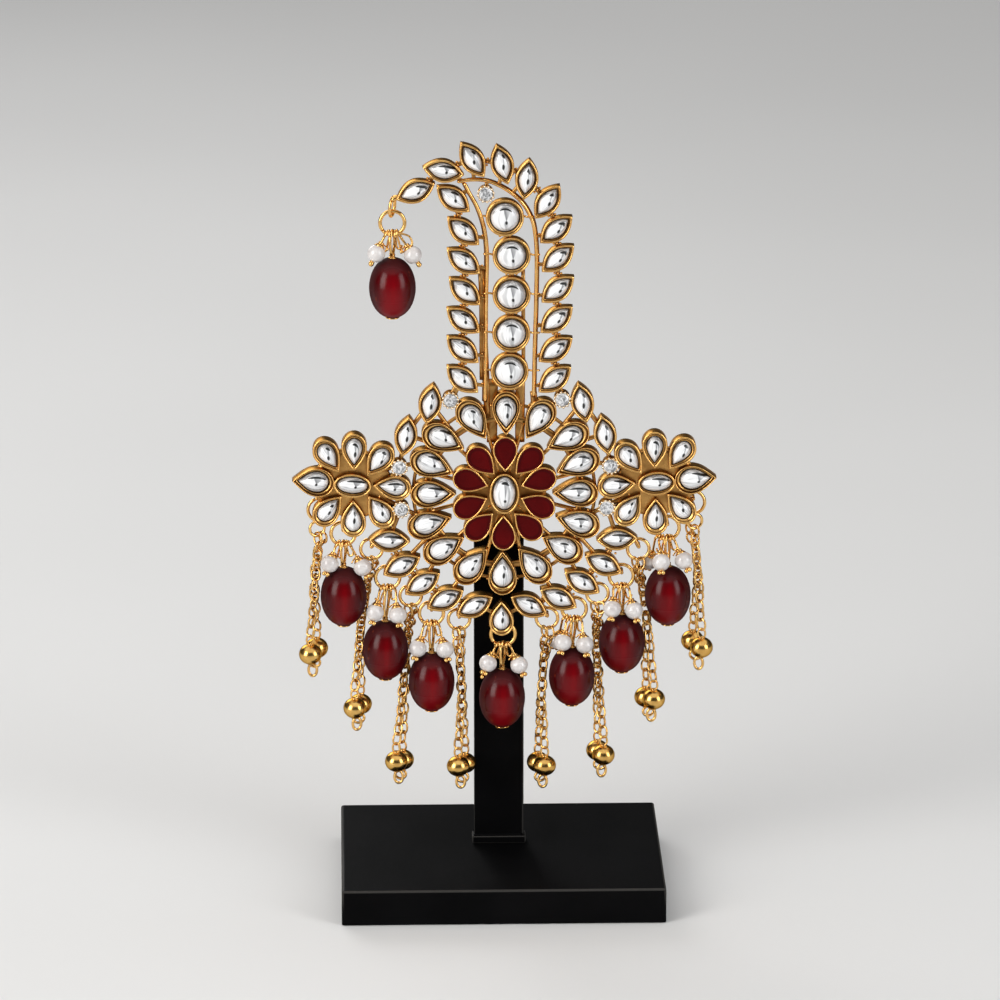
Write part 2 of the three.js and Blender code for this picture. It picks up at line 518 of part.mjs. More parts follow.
// ------------------------------------------------------------ chain tassels
// depth at which a strand through (x, z) clears the backs of the beads and pearls
function behindDrops(x, y, z) {
  const room = CHAIN_R + 0.6;
  let out = y;
  for (const p of pendants) {
    const beads = [[p.beadX, HANG_Y, p.beadZ, BEAD.r, BEAD.half], ...p.pearls.map(([px, py, pz]) => [px, py, pz, PEARL.r, PEARL.r])];
    for (const [bx, by, bz, r, half] of beads) {
      const q = 1 - ((x - bx) / (r + room)) ** 2 - ((z - bz) / (half + room)) ** 2;
      if (q > 0) {
        const depth = (r + room) * sqrt(q);
        if (out > by - depth && out < by + depth) out = by + depth;
      }
    }
  }
  return out;
}
tassels.forEach((t, i) => {
  const n = i + 1;
  put(`chain_ring_${n}`, ringBody(t.x, t.z, t.size, CHAIN_RING.wire), brightGold);
  const top = t.z - t.size - CHAIN_RING.wire - GAP - 0.1;
  const strand = (startY, midY, endY, bx, bz, before) => {
    const z1 = top - 0.6, z3 = bz + BALL_R - 0.2;
    const points = [0, 0.25, 0.5, 0.75, 1].map((u, j) => {
      const z = z1 + (z3 - z1) * u;
      const k = (z1 - z) / (z1 - t.midZ);
      const m = (z - t.midZ) / (z3 - t.midZ);
      const x = k < 1 ? t.x + (t.midX - t.x) * k : t.midX + (bx - t.midX) * m;
      let y = behindDrops(x, k < 1 ? startY + (midY - startY) * k : midY + (endY - midY) * m, z);
      if (before) y = Math.max(y, before.points[j][1] + 2 * CHAIN_R + 0.15);
      return [x, y, z];
    });
    const body = swept(points, CHAIN_R, 8, 4)
      .add(ball(bx, endY, bz, BALL_R, 8, 4, BALL_WIDE))
      .add(rod([bx, endY, bz - BALL_R + 0.5], [bx, endY, bz - BALL_R - LOOP_H], LOOP_R, LOOP_R, 4));
    return { body, points };
  };
  // both strands start from one short link under the ring
  const y1 = HANG_Y - CHAIN_R - 0.1 + (i === 1 ? 1.9 : i === 7 ? 0.5 : 0), y2 = y1 + 2 * CHAIN_R + 0.2;
  const link = new THREE.BoxGeometry(1.1, 3.6, 1.4).translate(t.x, (y1 + y2) / 2, top - 0.7);
  const front = strand(y1, t.midFront, FRONT_BALL_Y, t.frontX, t.frontZ, null);
  const back = strand(y2, t.midBack, BACK_BALL_Y, t.backX, t.backZ, front);
  put(`chain_${n}`, front.body.add(solid(link)).add(back.body), brightGold);
});

export default brooch;
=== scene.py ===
import math
import random

import bmesh
import bpy
import numpy as np
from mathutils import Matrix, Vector


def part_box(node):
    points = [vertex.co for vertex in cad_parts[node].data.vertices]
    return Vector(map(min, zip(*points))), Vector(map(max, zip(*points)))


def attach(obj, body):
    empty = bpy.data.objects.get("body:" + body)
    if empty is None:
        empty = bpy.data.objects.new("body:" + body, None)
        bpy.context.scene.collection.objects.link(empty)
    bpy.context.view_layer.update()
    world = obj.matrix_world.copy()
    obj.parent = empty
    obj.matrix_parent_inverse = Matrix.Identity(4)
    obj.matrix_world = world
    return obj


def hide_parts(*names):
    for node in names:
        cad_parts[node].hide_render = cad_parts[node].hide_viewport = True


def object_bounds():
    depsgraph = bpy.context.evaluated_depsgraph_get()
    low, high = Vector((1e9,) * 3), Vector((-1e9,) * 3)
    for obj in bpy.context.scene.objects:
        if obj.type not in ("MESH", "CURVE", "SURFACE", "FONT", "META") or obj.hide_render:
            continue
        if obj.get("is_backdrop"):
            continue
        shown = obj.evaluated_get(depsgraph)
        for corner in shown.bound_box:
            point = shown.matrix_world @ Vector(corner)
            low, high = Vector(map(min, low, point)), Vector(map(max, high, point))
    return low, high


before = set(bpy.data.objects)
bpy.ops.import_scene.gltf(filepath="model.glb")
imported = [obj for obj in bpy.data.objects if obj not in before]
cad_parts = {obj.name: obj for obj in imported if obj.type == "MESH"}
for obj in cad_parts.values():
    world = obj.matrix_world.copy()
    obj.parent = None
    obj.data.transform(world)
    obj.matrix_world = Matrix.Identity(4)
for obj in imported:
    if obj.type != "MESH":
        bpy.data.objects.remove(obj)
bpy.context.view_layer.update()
MM = 0.001
rng = random.Random(11)
BROOCH, TIP_RING, TIP_DROP = "stand_and_brooch", "tip_ring", "tip_drop"

# ------------------------------------------------------------------ dimensions
# all in millimetres, in the CAD frame: +Z up, the brooch faces -Y
RIM_Y, CELL_BACK, CREST_BACK = -8.0, -4.5, -5.4
STRIP, CREST_STRIP = (-6.3, -5.2), (-6.7, -5.9)
HANG_Y = -3.6
AXIS_X, AXIS_Z, LEAN = 0.6, 97.1, 0.0214
RING_R, RING_WIRE = 2.8, 0.43
CHAIN_WIRE = 0.4
BEAD_R, BEAD_HALF = 5.35, 7.15
PEARL_R = 2.0
CHAIN_R, BALL_R, BALL_WIDE = 1.0, 2.42, 1.1
FRONT_BALL_Y, BACK_BALL_Y = -5.8, -0.6

# kind: outline, half length and half width over the rim, the same of the stone, rim style
CELLS = {
    "leaf": ("leaf", 4.8, 2.65, 3.65, 1.88, "narrow"),
    "drop": ("tear", 5.3, 3.3, 3.55, 2.36, "wide"),
    "petal": ("tear", 4.45, 2.95, 3.2, 1.92, "narrow"),
    "wing": ("tear", 4.85, 3.4, 3.5, 2.42, "wide"),
    "foot": ("tear", 4.2, 2.85, 3.0, 1.95, "narrow"),
    "enamel": ("tear", 4.27, 2.87, 3.82, 2.44, "thin"),
    "round": ("oval", 4.35, 4.35, 3.35, 3.35, "narrow"),
    "heart": ("oval", 4.85, 3.5, 4.0, 2.66, "narrow"),
    "eyeleaf": ("oval", 4.35, 2.85, 3.6, 1.98, "narrow"),
}

crest_leaves = [
    (-19.52, 168.78, 23), (-13.23, 173.5, 169), (-6.62, 176.04, 124), (0.12, 174.92, 106),
    (5.69, 171.48, 82), (10.4, 166.18, 54), (12.39, 159.68, 40), (12.81, 152.9, 40),
    (12.79, 145.63, 39), (12.53, 138.52, 40), (12.32, 131.4, 36), (12.16, 124.35, 39),
]
inner_leaves = [
    (-11.01, 166.97, 142), (-8.73, 159.38, 139), (-8.67, 152.37, 143), (-8.41, 145.26, 139),
    (-8.77, 138.44, 143), (-8.91, 131.53, 140), (-8.99, 124.49, 139),
]
crest_rounds = [(0.72, 162.53), (2.24, 153.6), (2.24, 144.36), (2.18, 135.19), (1.8, 126.26)]
right_rail = [(-9.7, 170.9), (-6.5, 171.3), (-3.3, 171.0), (-0.2, 169.7), (2.4, 168.0), (4.6, 165.9),
              (6.2, 163.3), (7.3, 160.3), (7.9, 154.1), (7.8, 143), (7.5, 131.2), (7.3, 120)]
left_rail = [(-8.3, 170.2), (-7.2, 168.0), (-5.7, 165.3), (-4.6, 162.4), (-3.8, 159.1),
             (-3.3, 153.7), (-3.5, 143.1), (-3.6, 131.3), (-3.8, 118.9)]

# medallion: radius, place, direction of the tip; right half, mirrored to the left
drops = [(19.28, 90, 270), (19.17, 67.3, 238), (19.37, 42.7, 206.3), (18.16, 22.6, 202.8), (16.34, 0, 180),
         (18.45, -22.8, 163.5), (18.8, -44, 150.2), (18.6, -67.8, 130.3), (19.1, -90, 90)]
enamels = [(9.5, 90, 270), (9.37, 55.6, 226), (8.4, 22, 197), (8.2, -20.1, 155), (9.4, -54.5, 135), (9.34, -90, 90)]

# cells of the shoulders and the lower edge: kind, distance from the mirror line, z, aim
side_cells = [
    ("spark", 12.8, 119.5, 0), ("leaf", 17.45, 118.6, 101.5), ("leaf", 22.85, 110.9, 100.5),
    ("spark", 24.25, 103.55, 0), ("spark", 23.65, 93.5, 0), ("leaf", 26.25, 85.9, 2.5),
    ("leaf", 23.25, 79.87, 153.7), ("leaf", 18.4, 75.55, 147.7), ("leaf", 13.05, 71.67, 152.6), ("leaf", 6.28, 69.95, 151.6),
]
FLOWER_SIDE, FLOWER_Z = 34.95, 99.28
flower = [
    ("eyeleaf", 0, 0, 4), ("wing", 9, 0.9, 4.5), ("petal", 5.43, 7.02, 236),
    ("petal", -0.45, 8, 270), ("petal", -6.05, 5.94, 307), ("petal", -9.1, -0.5, 6.5),
    ("petal", -6.17, -6.14, 56), ("petal", -0.15, -7.92, 90), ("petal", 5.45, -5.8, 131),
]

# drops: ring x, z, bead x, z, pearls
pendants = [
    (-24.8, 160.5, -24.85, 145.3, [(-28.5, -5, 153.7), (-20.2, -5, 153.3)]),
    (-36.5, 86.6, -36.5, 71.5, [(-39.7, -5.2, 79.8), (-32.1, -5.2, 78.9)]),
    (-26.3, 75.9, -26.9, 58.3, [(-29.3, -5.2, 67.9), (-24, -5.6, 67.4)]),
    (-16.2, 67.1, -16.2, 50.5, [(-19.4, -5.2, 59.1), (-13.1, -5.2, 58.75)]),
    (0.4, 61.9, 0.2, 46.4, [(-3.1, -5.2, 55.3), (4.1, -5.2, 54.8)]),
    (16.9, 67.9, 16.4, 51.6, [(14.2, -5.7, 60.4), (19.3, -5.7, 59.8), (13.1, -0.2, 59.2)]),
    (27.8, 75.8, 28, 59.6, [(25.6, -6.1, 68.6), (30.7, -5.7, 68.05)]),
    (38.3, 87.4, 38.6, 71.1, [(36.8, -7, 80.1), (42.1, -5.6, 80.1), (34.6, -0.2, 78.4)]),
]
# tassels: ring x, z, size, middle x, z, front y, back y, front ball x, z, back ball x, z
tassels = [
    (-41.8, 92.4, 2.75, -43.2, 74, -5.2, -1.6, -44.3, 58.1, -42.85, 57.9),
    (-30, 82.8, 2.5, -32.6, 63, -1.6, 0.8, -34.1, 44.8, -32.75, 44.05),
    (-21, 71.4, 2.5, -22.2, 54, -1.6, 0.8, -24.5, 31.6, -23, 30.2),
    (-9.8, 65.6, 2.5, -9.2, 48, -4.6, -1.8, -10.1, 30.3, -8.45, 29.25),
    (10.6, 65.7, 2.5, 9.4, 48, -4.6, -1.8, 10.05, 30.3, 8.7, 29.35),
    (22.3, 71.6, 2.5, 22.4, 55, -1.6, 0.8, 23.75, 32.8, 22.6, 32.15),
    (31.7, 82.3, 2.5, 33.8, 66, -1.6, 0.8, 35.4, 46.4, 33.8, 45.2),
    (44.2, 93.5, 2.75, 45.6, 76, -5.2, -1.6, 46.4, 59, 44.6, 59),
]
peg_drop = [None, (-35.4, 90.2), (-25.2, 78.9), (-15.2, 70.8), (0.2, 66.5), (15.8, 70.7), (26.3, 79.0), (36.9, 90.4)]
peg_chain = [(-40.4, 94.3), (-28.8, 86.0), (-20.8, 74.4), (-9.0, 68.7), (9.2, 68.8), (21.2, 74.4), (30.2, 86.5), (42.0, 94.7)]


def axis_at(z):
    return AXIS_X + LEAN * (z - AXIS_Z)


# --------------------------------------------------------------------- meshes
class Part:
    """One piece: closed shells in millimetres with a value for wear and painted light and the coordinates of its
    stones.
    """

    def __init__(self, name):
        self.name, self.count = name, 0
        self.verts, self.faces, self.mats, self.smooth = [], [], [], []
        self.polish, self.foil, self.mark, self.reach, self.lift, self.tone = [], [], [], [], [], []

    def add(self, verts, faces, mat=0, smooth=True, polish=1.0, foil=None, mark=None, reach=None, lift=0.0, tone=None):
        verts = np.asarray(verts, float).reshape(-1, 3)
        n = len(verts)
        self.verts.append(verts)
        self.faces += [tuple(i + self.count for i in f) for f in faces]
        self.mats += [mat] * len(faces)
        self.smooth += [smooth] * len(faces)
        self.polish.append(np.broadcast_to(np.asarray(polish, float), (n,)))
        self.foil.append(np.zeros((n, 3)) if foil is None else np.asarray(foil, float))
        self.mark.append(np.zeros((n, 3)) if mark is None else np.asarray(mark, float))
        self.reach.append(np.zeros((n, 3)) if reach is None else np.asarray(reach, float))
        self.lift.append(np.broadcast_to(np.asarray(lift, float), (n,)))
        if tone is None:
            tone = rng.random()
        self.tone += list(tone) if isinstance(tone, (list, tuple)) else [tone] * len(faces)
        self.count += n

    def build(self, materials, body, slot, stands_for=()):
        mesh = bpy.data.meshes.new(self.name)
        mesh.from_pydata((np.concatenate(self.verts) * MM).tolist(), [], self.faces)
        for m in materials:
            mesh.materials.append(m)
        mesh.polygons.foreach_set("material_index", self.mats)
        mesh.polygons.foreach_set("use_smooth", self.smooth)
        for name, kind, domain, rows, field in (
            ("polish", "FLOAT", "POINT", np.concatenate(self.polish), "value"),
            ("lift", "FLOAT", "POINT", np.concatenate(self.lift), "value"),
            ("foil", "FLOAT_VECTOR", "POINT", np.concatenate(self.foil), "vector"),
            ("mark", "FLOAT_VECTOR", "POINT", np.concatenate(self.mark), "vector"),
            ("reach", "FLOAT_VECTOR", "POINT", np.concatenate(self.reach), "vector"),
            ("tone", "FLOAT", "FACE", np.array(self.tone, float), "value"),
        ):
            mesh.attributes.new(name, kind, domain).data.foreach_set(field, rows.astype(np.float32).ravel())
        b = bmesh.new()
        b.from_mesh(mesh)
        bmesh.ops.recalc_face_normals(b, faces=b.faces)
        b.to_mesh(mesh)
        b.free()
        mesh.update()
        o = bpy.data.objects.new(self.name, mesh)
        bpy.context.scene.collection.objects.link(o)
        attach(o, body)
        if stands_for:
            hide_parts(*stands_for)
        return o


def grid_faces(rows, cols, closed_cols=True, first=0):
    out = []
    for i in range(rows - 1):
        for j in range(cols if closed_cols else cols - 1):
            k = (j + 1) % cols
            out.append((first + i * cols + j, first + i * cols + k, first + (i + 1) * cols + k, first + (i + 1) * cols + j))
    return out


def loft(rings):
    """Rings of equal count joined in order, closed at both ends by a fan."""
    rings = [np.asarray(r, float) for r in rings]
    n = len(rings[0])
    verts = np.concatenate(rings + [rings[0].mean(0)[None], rings[-1].mean(0)[None]])
    faces = grid_faces(len(rings), n)
    a, b = len(rings) * n, len(rings) * n + 1
    last = (len(rings) - 1) * n
    faces += [(a, (j + 1) % n, j) for j in range(n)]
    faces += [(b, last + j, last + (j + 1) % n) for j in range(n)]
    return verts, faces


def smooth_path(points, step=0.5, closed=False):
    """Catmull-Rom curve through points, as even steps."""
    p = np.asarray(points, float)
    if closed:
        p = np.concatenate([p[-1:], p, p[:2]])
    else:
        p = np.concatenate([2 * p[:1] - p[1:2], p, 2 * p[-1:] - p[-2:-1]])
    out = []
    for i in range(1, len(p) - 2):
        for t in np.linspace(0, 1, 12, endpoint=False):
            a, b, c, d = p[i - 1], p[i], p[i + 1], p[i + 2]
            out.append(0.5 * (2 * b + (c - a) * t + (2 * a - 5 * b + 4 * c - d) * t * t + (3 * b - a - 3 * c + d) * t ** 3))
    if not closed:
        out.append(p[-2])
    out = np.array(out)
    if closed:
        out = np.concatenate([out, out[:1]])
    s = np.concatenate([[0], np.cumsum(np.linalg.norm(np.diff(out, axis=0), axis=1))])
    n = max(3, int(round(s[-1] / step)))
    at = np.linspace(0, s[-1], n + 1)
    even = np.stack([np.interp(at, s, out[:, k]) for k in range(3)], 1)
    return even[:-1] if closed else even


def frames(path, closed):
    """Tangent and two normals carried along the path without twist."""
    n = len(path)
    if closed:
        tan = np.roll(path, -1, 0) - np.roll(path, 1, 0)
    else:
        tan = np.gradient(path, axis=0)
    tan /= np.linalg.norm(tan, axis=1)[:, None]
    start = np.array([0.0, 1.0, 0.0]) if abs(tan[0][1]) < 0.8 else np.array([1.0, 0.0, 0.0])
    side = np.cross(tan[0], start)
    side /= np.linalg.norm(side)
    sides = [side]
    for i in range(1, n):
        side = side - tan[i] * side.dot(tan[i])
        side /= np.linalg.norm(side)
        sides.append(side)
    sides = np.array(sides)
    ups = np.cross(tan, sides)
    if closed:  # spread the leftover twist
        end = sides[-1] - tan[0] * sides[-1].dot(tan[0])
        end /= np.linalg.norm(end)
        twist = math.atan2(end.dot(ups[0]), end.dot(sides[0]))
        turn = -twist * np.arange(n) / n
        sides, ups = (sides * np.cos(turn)[:, None] + ups * np.sin(turn)[:, None],
                      ups * np.cos(turn)[:, None] - sides * np.sin(turn)[:, None])
    return tan, sides, ups


def tube(path, radius, sides=8, closed=False, flat=(1.0, 1.0)):
    """Round wire along a path, with domed ends. flat squashes it along its two normals."""
    path = np.asarray(path, float)
    n = len(path)
    tan, s, u = frames(path, closed)
    radius = np.broadcast_to(np.asarray(radius, float), (n,))
    t = 2 * np.pi * np.arange(sides) / sides
    rings = [path[i] + radius[i] * (np.outer(np.cos(t) * flat[0], s[i]) + np.outer(np.sin(t) * flat[1], u[i])) for i in range(n)]
    if closed:
        verts = np.concatenate(rings)
        faces = grid_faces(n, sides)
        last = (n - 1) * sides
        faces += [(last + j, last + (j + 1) % sides, (j + 1) % sides, j) for j in range(sides)]
        return verts, faces
    for i, sign in ((0, -1), (n - 1, 1)):
        c, r = path[i], radius[i]
        extra = [c + sign * tan[i] * r * 0.5 + (rings[i] - c) * 0.8, c + sign * tan[i] * r * 0.8 + (rings[i] - c) * 0.4]
        if sign < 0:
            rings = extra[::-1] + rings
        else:
            rings = rings + extra
    return loft(rings)


def circle(centre, r, u, v, count=28, start=0.0, end=2 * math.pi, ratio=1.0):
    t = np.linspace(start, end, count, endpoint=abs(end - start) < 2 * math.pi - 1e-6)
    return np.asarray(centre, float) + r * (np.outer(np.cos(t), u) + ratio * np.outer(np.sin(t), v))


def lathe(profile, centre, axis=(0, 0, 1), around=24):
    """Turned shape: profile as (radius, height) from one pole to the other."""
    axis = np.asarray(axis, float) / np.linalg.norm(axis)
    u = np.cross(axis, (0, 1, 0) if abs(axis[1]) < 0.9 else (1, 0, 0))
    u /= np.linalg.norm(u)
    v = np.cross(axis, u)
    t = 2 * np.pi * np.arange(around) / around
    rings = [np.asarray(centre) + axis * h + r * (np.outer(np.cos(t), u) + np.outer(np.sin(t), v)) for r, h in profile]
    return loft(rings)


def ball(centre, r, around=16, rows=10, axis=(0, 0, 1), tall=1.0):
    k = np.linspace(-np.pi / 2, np.pi / 2, rows + 1)
    return lathe([(max(r * math.cos(a), r * 0.02), r * tall * math.sin(a)) for a in k], centre, axis, around)


def bar(p, q, width, span, taper=1.0):
    """Flat strip from p to q (x, z), its edges rounded, between two depths."""
    (x1, z1), (x2, z2) = p, q
    d = np.array([x2 - x1, 0, z2 - z1], float)
    length = np.linalg.norm(d)
    if length < 1e-6:
        return np.zeros((0, 3)), []
    d /= length
    side = np.array([-d[2], 0, d[0]])
    y0, y1 = span
    h, e = width / 2, min(width, y1 - y0) * 0.28
    section = [(-h, y0 + e), (-h + e, y0), (h - e, y0), (h, y0 + e), (h, y1 - e), (h - e, y1), (-h + e, y1), (-h, y1 - e)]
    rings = []
    for s in (0.0, 0.12, 0.5, 0.88, 1.0):
        c = np.array([x1, 0, z1]) + d * length * s
        k = taper if 0 < s < 1 else 1.0
        rings.append(np.array([c + side * a * k + np.array([0, b, 0]) for a, b in section]))
    return loft(rings)


# ------------------------------------------------------------------- outlines
def bezier(p0, p1, p2, p3, n):
    t = np.linspace(0, 1, n, endpoint=False)[:, None]
    p0, p1, p2, p3 = map(np.array, (p0, p1, p2, p3))
    return (1 - t) ** 3 * p0 + 3 * t * (1 - t) ** 2 * p1 + 3 * t * t * (1 - t) * p2 + t ** 3 * p3


def outline(shape, a, b, n=48):
    """Closed outline with its long axis along +u, tip of a tear at +u; n points."""
    if shape == "leaf":
        t = np.linspace(0, 1, n // 2, endpoint=False)
        half = np.stack([a * (1 - 2 * t), 4 * b * t * (1 - t)], 1)
        return np.concatenate([half, -half])
    if shape == "tear":
        c = -(a - b) * 0.82
        q = n // 4
        top = np.concatenate([
            bezier((a, 0), (0.6 * a, 0.52 * b), (c + 0.75 * b, b), (c, b), q),
            bezier((c, b), (c - 0.55 * b, b), (-a, 0.56 * b), (-a, 0), q)])
        low = top[1:][::-1] * (1, -1)
        return np.concatenate([top, [(-a, 0)], low])[:n]
    t = 2 * np.pi * np.arange(n) / n
    oval = np.stack([a * np.cos(t), b * np.sin(t)], 1)
    if shape == "eye":
        # between an oval and a leaf: blunt points
        x = a * np.cos(t)
        leaf = np.stack([x, np.sign(np.sin(t)) * b * (1 - (x / a) ** 2)], 1)
        return 0.55 * oval + 0.45 * leaf
    return oval


def inset(shape, a, b, d, n=48):
    """The outline moved in by d, a sharp tip further than a flat side."""
    if shape == "leaf":
        k = 1 / math.sin(math.atan(2 * b / a))
        return outline(shape, a - k * d, b - d, n)
    if shape == "tear":
        k = 1 / math.sin(math.atan(0.52 * b / (0.4 * a)))
        return outline(shape, a - (k + 1) / 2 * d, b - d, n) + (-(k - 1) / 2 * d, 0)
    if shape == "eye":
        return outline(shape, a - 1.2 * d, b - d, n)
    return outline(shape, a - d, b - d, n)


def placed(uv, x, z, aim, y):
    c, s = math.cos(math.radians(aim)), math.sin(math.radians(aim))
    uv = np.asarray(uv)
    return np.stack([x + uv[:, 0] * c - uv[:, 1] * s, np.full(len(uv), float(y)), z + uv[:, 0] * s + uv[:, 1] * c], 1)


# rim styles: (inset, depth below the rim, wear and painted light: high on the crowns, low for painted shade in grooves
# and on side walls), then from the inner edge to the stone (share, depth, wear and painted light)
RIMS = {
    "narrow": ([(0.0, 1.3, 0.38), (0.0, 0.40, 0.46), (0.03, 0.17, 0.80), (0.10, 0.03, 1.0), (0.26, 0.0, 1.0),
                (0.38, 0.05, 0.95), (0.46, 0.20, 0.45)],
               [(0.26, 0.56, 0.22), (0.50, 0.68, 0.52), (0.76, 0.76, 0.60), (0.91, 0.86, 0.42), (0.985, 1.03, 0.12), (1.0, 1.75, 0.0)]),
    "wide": ([(0.0, 1.3, 0.38), (0.0, 0.40, 0.46), (0.02, 0.15, 0.80), (0.07, 0.03, 1.0), (0.16, 0.0, 1.0),
              (0.24, 0.06, 0.92), (0.30, 0.26, 0.40), (0.34, 0.66, 0.06)],
             [(0.12, 0.92, 0.04), (0.26, 0.76, 0.50), (0.42, 0.70, 0.92), (0.60, 0.78, 0.66), (0.80, 0.98, 0.34), (0.96, 1.20, 0.05), (1.0, 1.9, 0.0)]),
    "thin": ([(0.0, 1.3, 0.35), (0.0, 0.36, 0.5), (0.03, 0.12, 0.9), (0.11, 0.01, 1.0), (0.22, -0.02, 1.0),
              (0.32, 0.02, 1.0), (0.39, 0.14, 0.75)],
             [(1.0, 0.46, 0.15), (1.0, 0.9, 0.0)]),
}


def cup(part, kind, x, z, aim, back):
    """Closed-back setting: side wall, rolled rim, inner slope to the stone, back plate."""
    shape, a, b, sa, sb, style = CELLS[kind]
    outer, inner = RIMS[style]
    rows, polish = [], []
    for d, y, p in [(0.28, back, 0.34), (0.08, back, 0.60), (0.0, back - 0.12, 0.62)]:
        rows.append(placed(inset(shape, a, b, d), x, z, aim, y))
        polish.append(p)
    for d, y, p in outer:
        rows.append(placed(inset(shape, a, b, d), x, z, aim, RIM_Y + y))
        polish.append(p)
    lip = inset(shape, a, b, outer[-1][0])
    seat = stone_outline(kind, 0.06)
    for s, y, p in inner:
        rows.append(placed(lip * (1 - s) + seat * s, x, z, aim, RIM_Y + y))
        polish.append(p)
    n = len(rows[0])
    values = np.concatenate([np.repeat(polish, n), [0.40, 0.0]])
    verts, faces = loft(rows)
    # hand-made waver of the rim, a few hundredths of a millimetre
    waver = 0.035 * np.sin(verts[:, 0] * 2.9 + z) * np.cos(verts[:, 2] * 2.3 + x)
    verts[:, 1] += waver * (values > 0.5)
    part.add(verts, faces, 0, True, values)


def stone_outline(kind, grow=0.0):
    shape, a, b, sa, sb, _ = CELLS[kind]
    uv = outline(shape, sa + grow, sb + grow)
    return uv


def reflections(kind, aim):
    """Places the painted reflections, the dark culet, the dark arc and the grey wedge between them, which stand upright
    whatever way the stone points.

    Returns a function of points in the stone's own frame and the three sizes that are constant over the stone."""
    uv = stone_outline(kind)
    centre = uv.mean(0)
    sa, sb = CELLS[kind][3:5]
    c, s = math.cos(math.radians(aim)), math.sin(math.radians(aim))
    turn = np.array([[c, s], [-s, c]])
    w = uv @ turn
    mid, half = (w.max(0) + w.min(0)) / 2, (w.max(0) - w.min(0)) / 2
    lean = 2 * s * c
    upright = abs(s)
    if kind == "round":
        culet, arc, arc_half, dot = (0.10, -0.30), (0.05, 0.64), 0.42, 0.50
    elif kind == "heart":
        culet, arc, arc_half, dot = (0.06, -0.40), (0.10, 0.66), 0.34, 0.42
    else:
        culet = (0.20 - 0.08 * upright ** 4, -0.12)
        arc = (0.28 - 0.10 * upright ** 4 + (0.20 if lean > 0 else 0.14) * lean, 0.55 + 0.07 * abs(lean) + 0.05 * upright ** 4)
        arc_half = 0.66 - 0.30 * abs(lean) - 0.28 * upright ** 4
        # a tip that points up leaves no room for a full arc
        narrow = max(0.0, s) ** 2 if CELLS[kind][0] == "tear" else 0.45 * upright ** 4
        arc_half *= 1 - 0.60 * narrow
        arc = (arc[0], arc[1] - 0.20 * narrow)
        dot = 0.30 + 0.16 * abs(lean) + 0.46 * upright ** 6
    flip = -1.0 if -s - 0.6 * c < 0 else 1.0
    calm = 0.35 if kind in ("round", "heart") else 1.0   # full domes show few streaks
    at_culet = (mid + half * culet) @ turn.T
    off_axis = flip * (at_culet - centre)[1] / sb

    def pattern(points):
        rel = points - centre
        w = (points @ turn - mid) / half
        q = (w[:, 1] - culet[1]) / (arc[1] - culet[1])
        p = (w[:, 0] - culet[0] - q * (arc[0] - culet[0])) * half[0]
        bow = calm * (flip * rel[:, 1] / sb - off_axis) / np.maximum(1.18 - (rel[:, 0] / sa) ** 2, 0.12)
        return w, p, q, bow

    stem = (arc[1] - culet[1]) * half[1]
    # how far out towards the edge the arc lies
    towards = (mid + half * arc) @ turn.T - centre
    rim = uv - centre
    nearest = np.argmax((rim @ towards) / np.linalg.norm(rim, axis=1))
    out = np.linalg.norm(towards) / np.linalg.norm(rim[nearest])
    flat = 0.0 if kind in ("round", "heart") else 0.55 * (1 - upright)   # arcs of stones that lie along are nearly straight
    return pattern, (arc_half * half[0], dot / stem, 0.0), out * sb, sb, (flat, stem)


def stone(part, kind, x, z, aim, mat=0, high=None):
    """Domed foil-backed stone, its flat back hidden in the setting."""
    uv = stone_outline(kind)
    centre = uv.mean(0)
    pattern, sizes, arc_out, unit, (flat, stem) = reflections(kind, aim)
    sb = CELLS[kind][4]
    h = high or min(1.75, 0.5 * sb + 0.55)
    seat = 1.28
    rings = [(0.96, seat + 0.35), (1.0, seat + 0.1)]
    for r in (1.0, 0.985, 0.955, 0.91, 0.84, 0.75, 0.64, 0.52, 0.40, 0.28, 0.17, 0.07):
        rings.append((r, seat - h * (1 - r ** 2.1) ** 0.62))
    rows, foil, mark, lift = [], [], [], []
    for r, y in rings:
        points = centre + (uv - centre) * r
        rows.append(placed(points, x, z, aim, RIM_Y + y))
        w, p, q, bow = pattern(points)
        lift.append((1 - flat) * (r * unit - arc_out) + flat * (q - 1) * stem)
        foil.append(np.column_stack([w, np.full(len(uv), r)]))
        mark.append(np.column_stack([p, q, bow]))
    verts, faces = loft(rows)
    w, p, q, bow = pattern(centre[None, :])
    ends_foil = np.array([[w[0, 0], w[0, 1], 0.0]] * 2)
    ends_mark = np.array([[p[0], q[0], bow[0]]] * 2)
    part.add(verts, faces, mat, True, 1.0, np.concatenate(foil + [ends_foil]), np.concatenate(mark + [ends_mark]),
             np.tile(sizes, (len(verts), 1)), np.concatenate(lift + [[-arc_out, -arc_out]]))


def enamel_pad(part, kind, x, z, aim, mat=0):
    uv = stone_outline(kind, 0.05)
    c = uv.mean(0)
    rows = [placed(c + (uv - c) * r, x, z, aim, RIM_Y + y) for r, y in
            ((0.97, 0.95), (1.0, 0.55), (1.0, 0.34), (0.97, 0.26), (0.90, 0.25), (0.84, 0.30), (0.7, 0.31), (0.4, 0.29), (0.12, 0.28))]
    foil = np.concatenate([np.stack([r * np.cos(np.linspace(0, 2 * np.pi, len(uv), endpoint=False)),
                                     r * np.sin(np.linspace(0, 2 * np.pi, len(uv), endpoint=False)),
                                     np.full(len(uv), r)], 1) for r in (0.97, 1.0, 1.0, 0.97, 0.90, 0.84, 0.7, 0.4, 0.12)] + [np.zeros((2, 3))])
    verts, faces = loft(rows)
    part.add(verts, faces, mat, True, 1.0, foil)


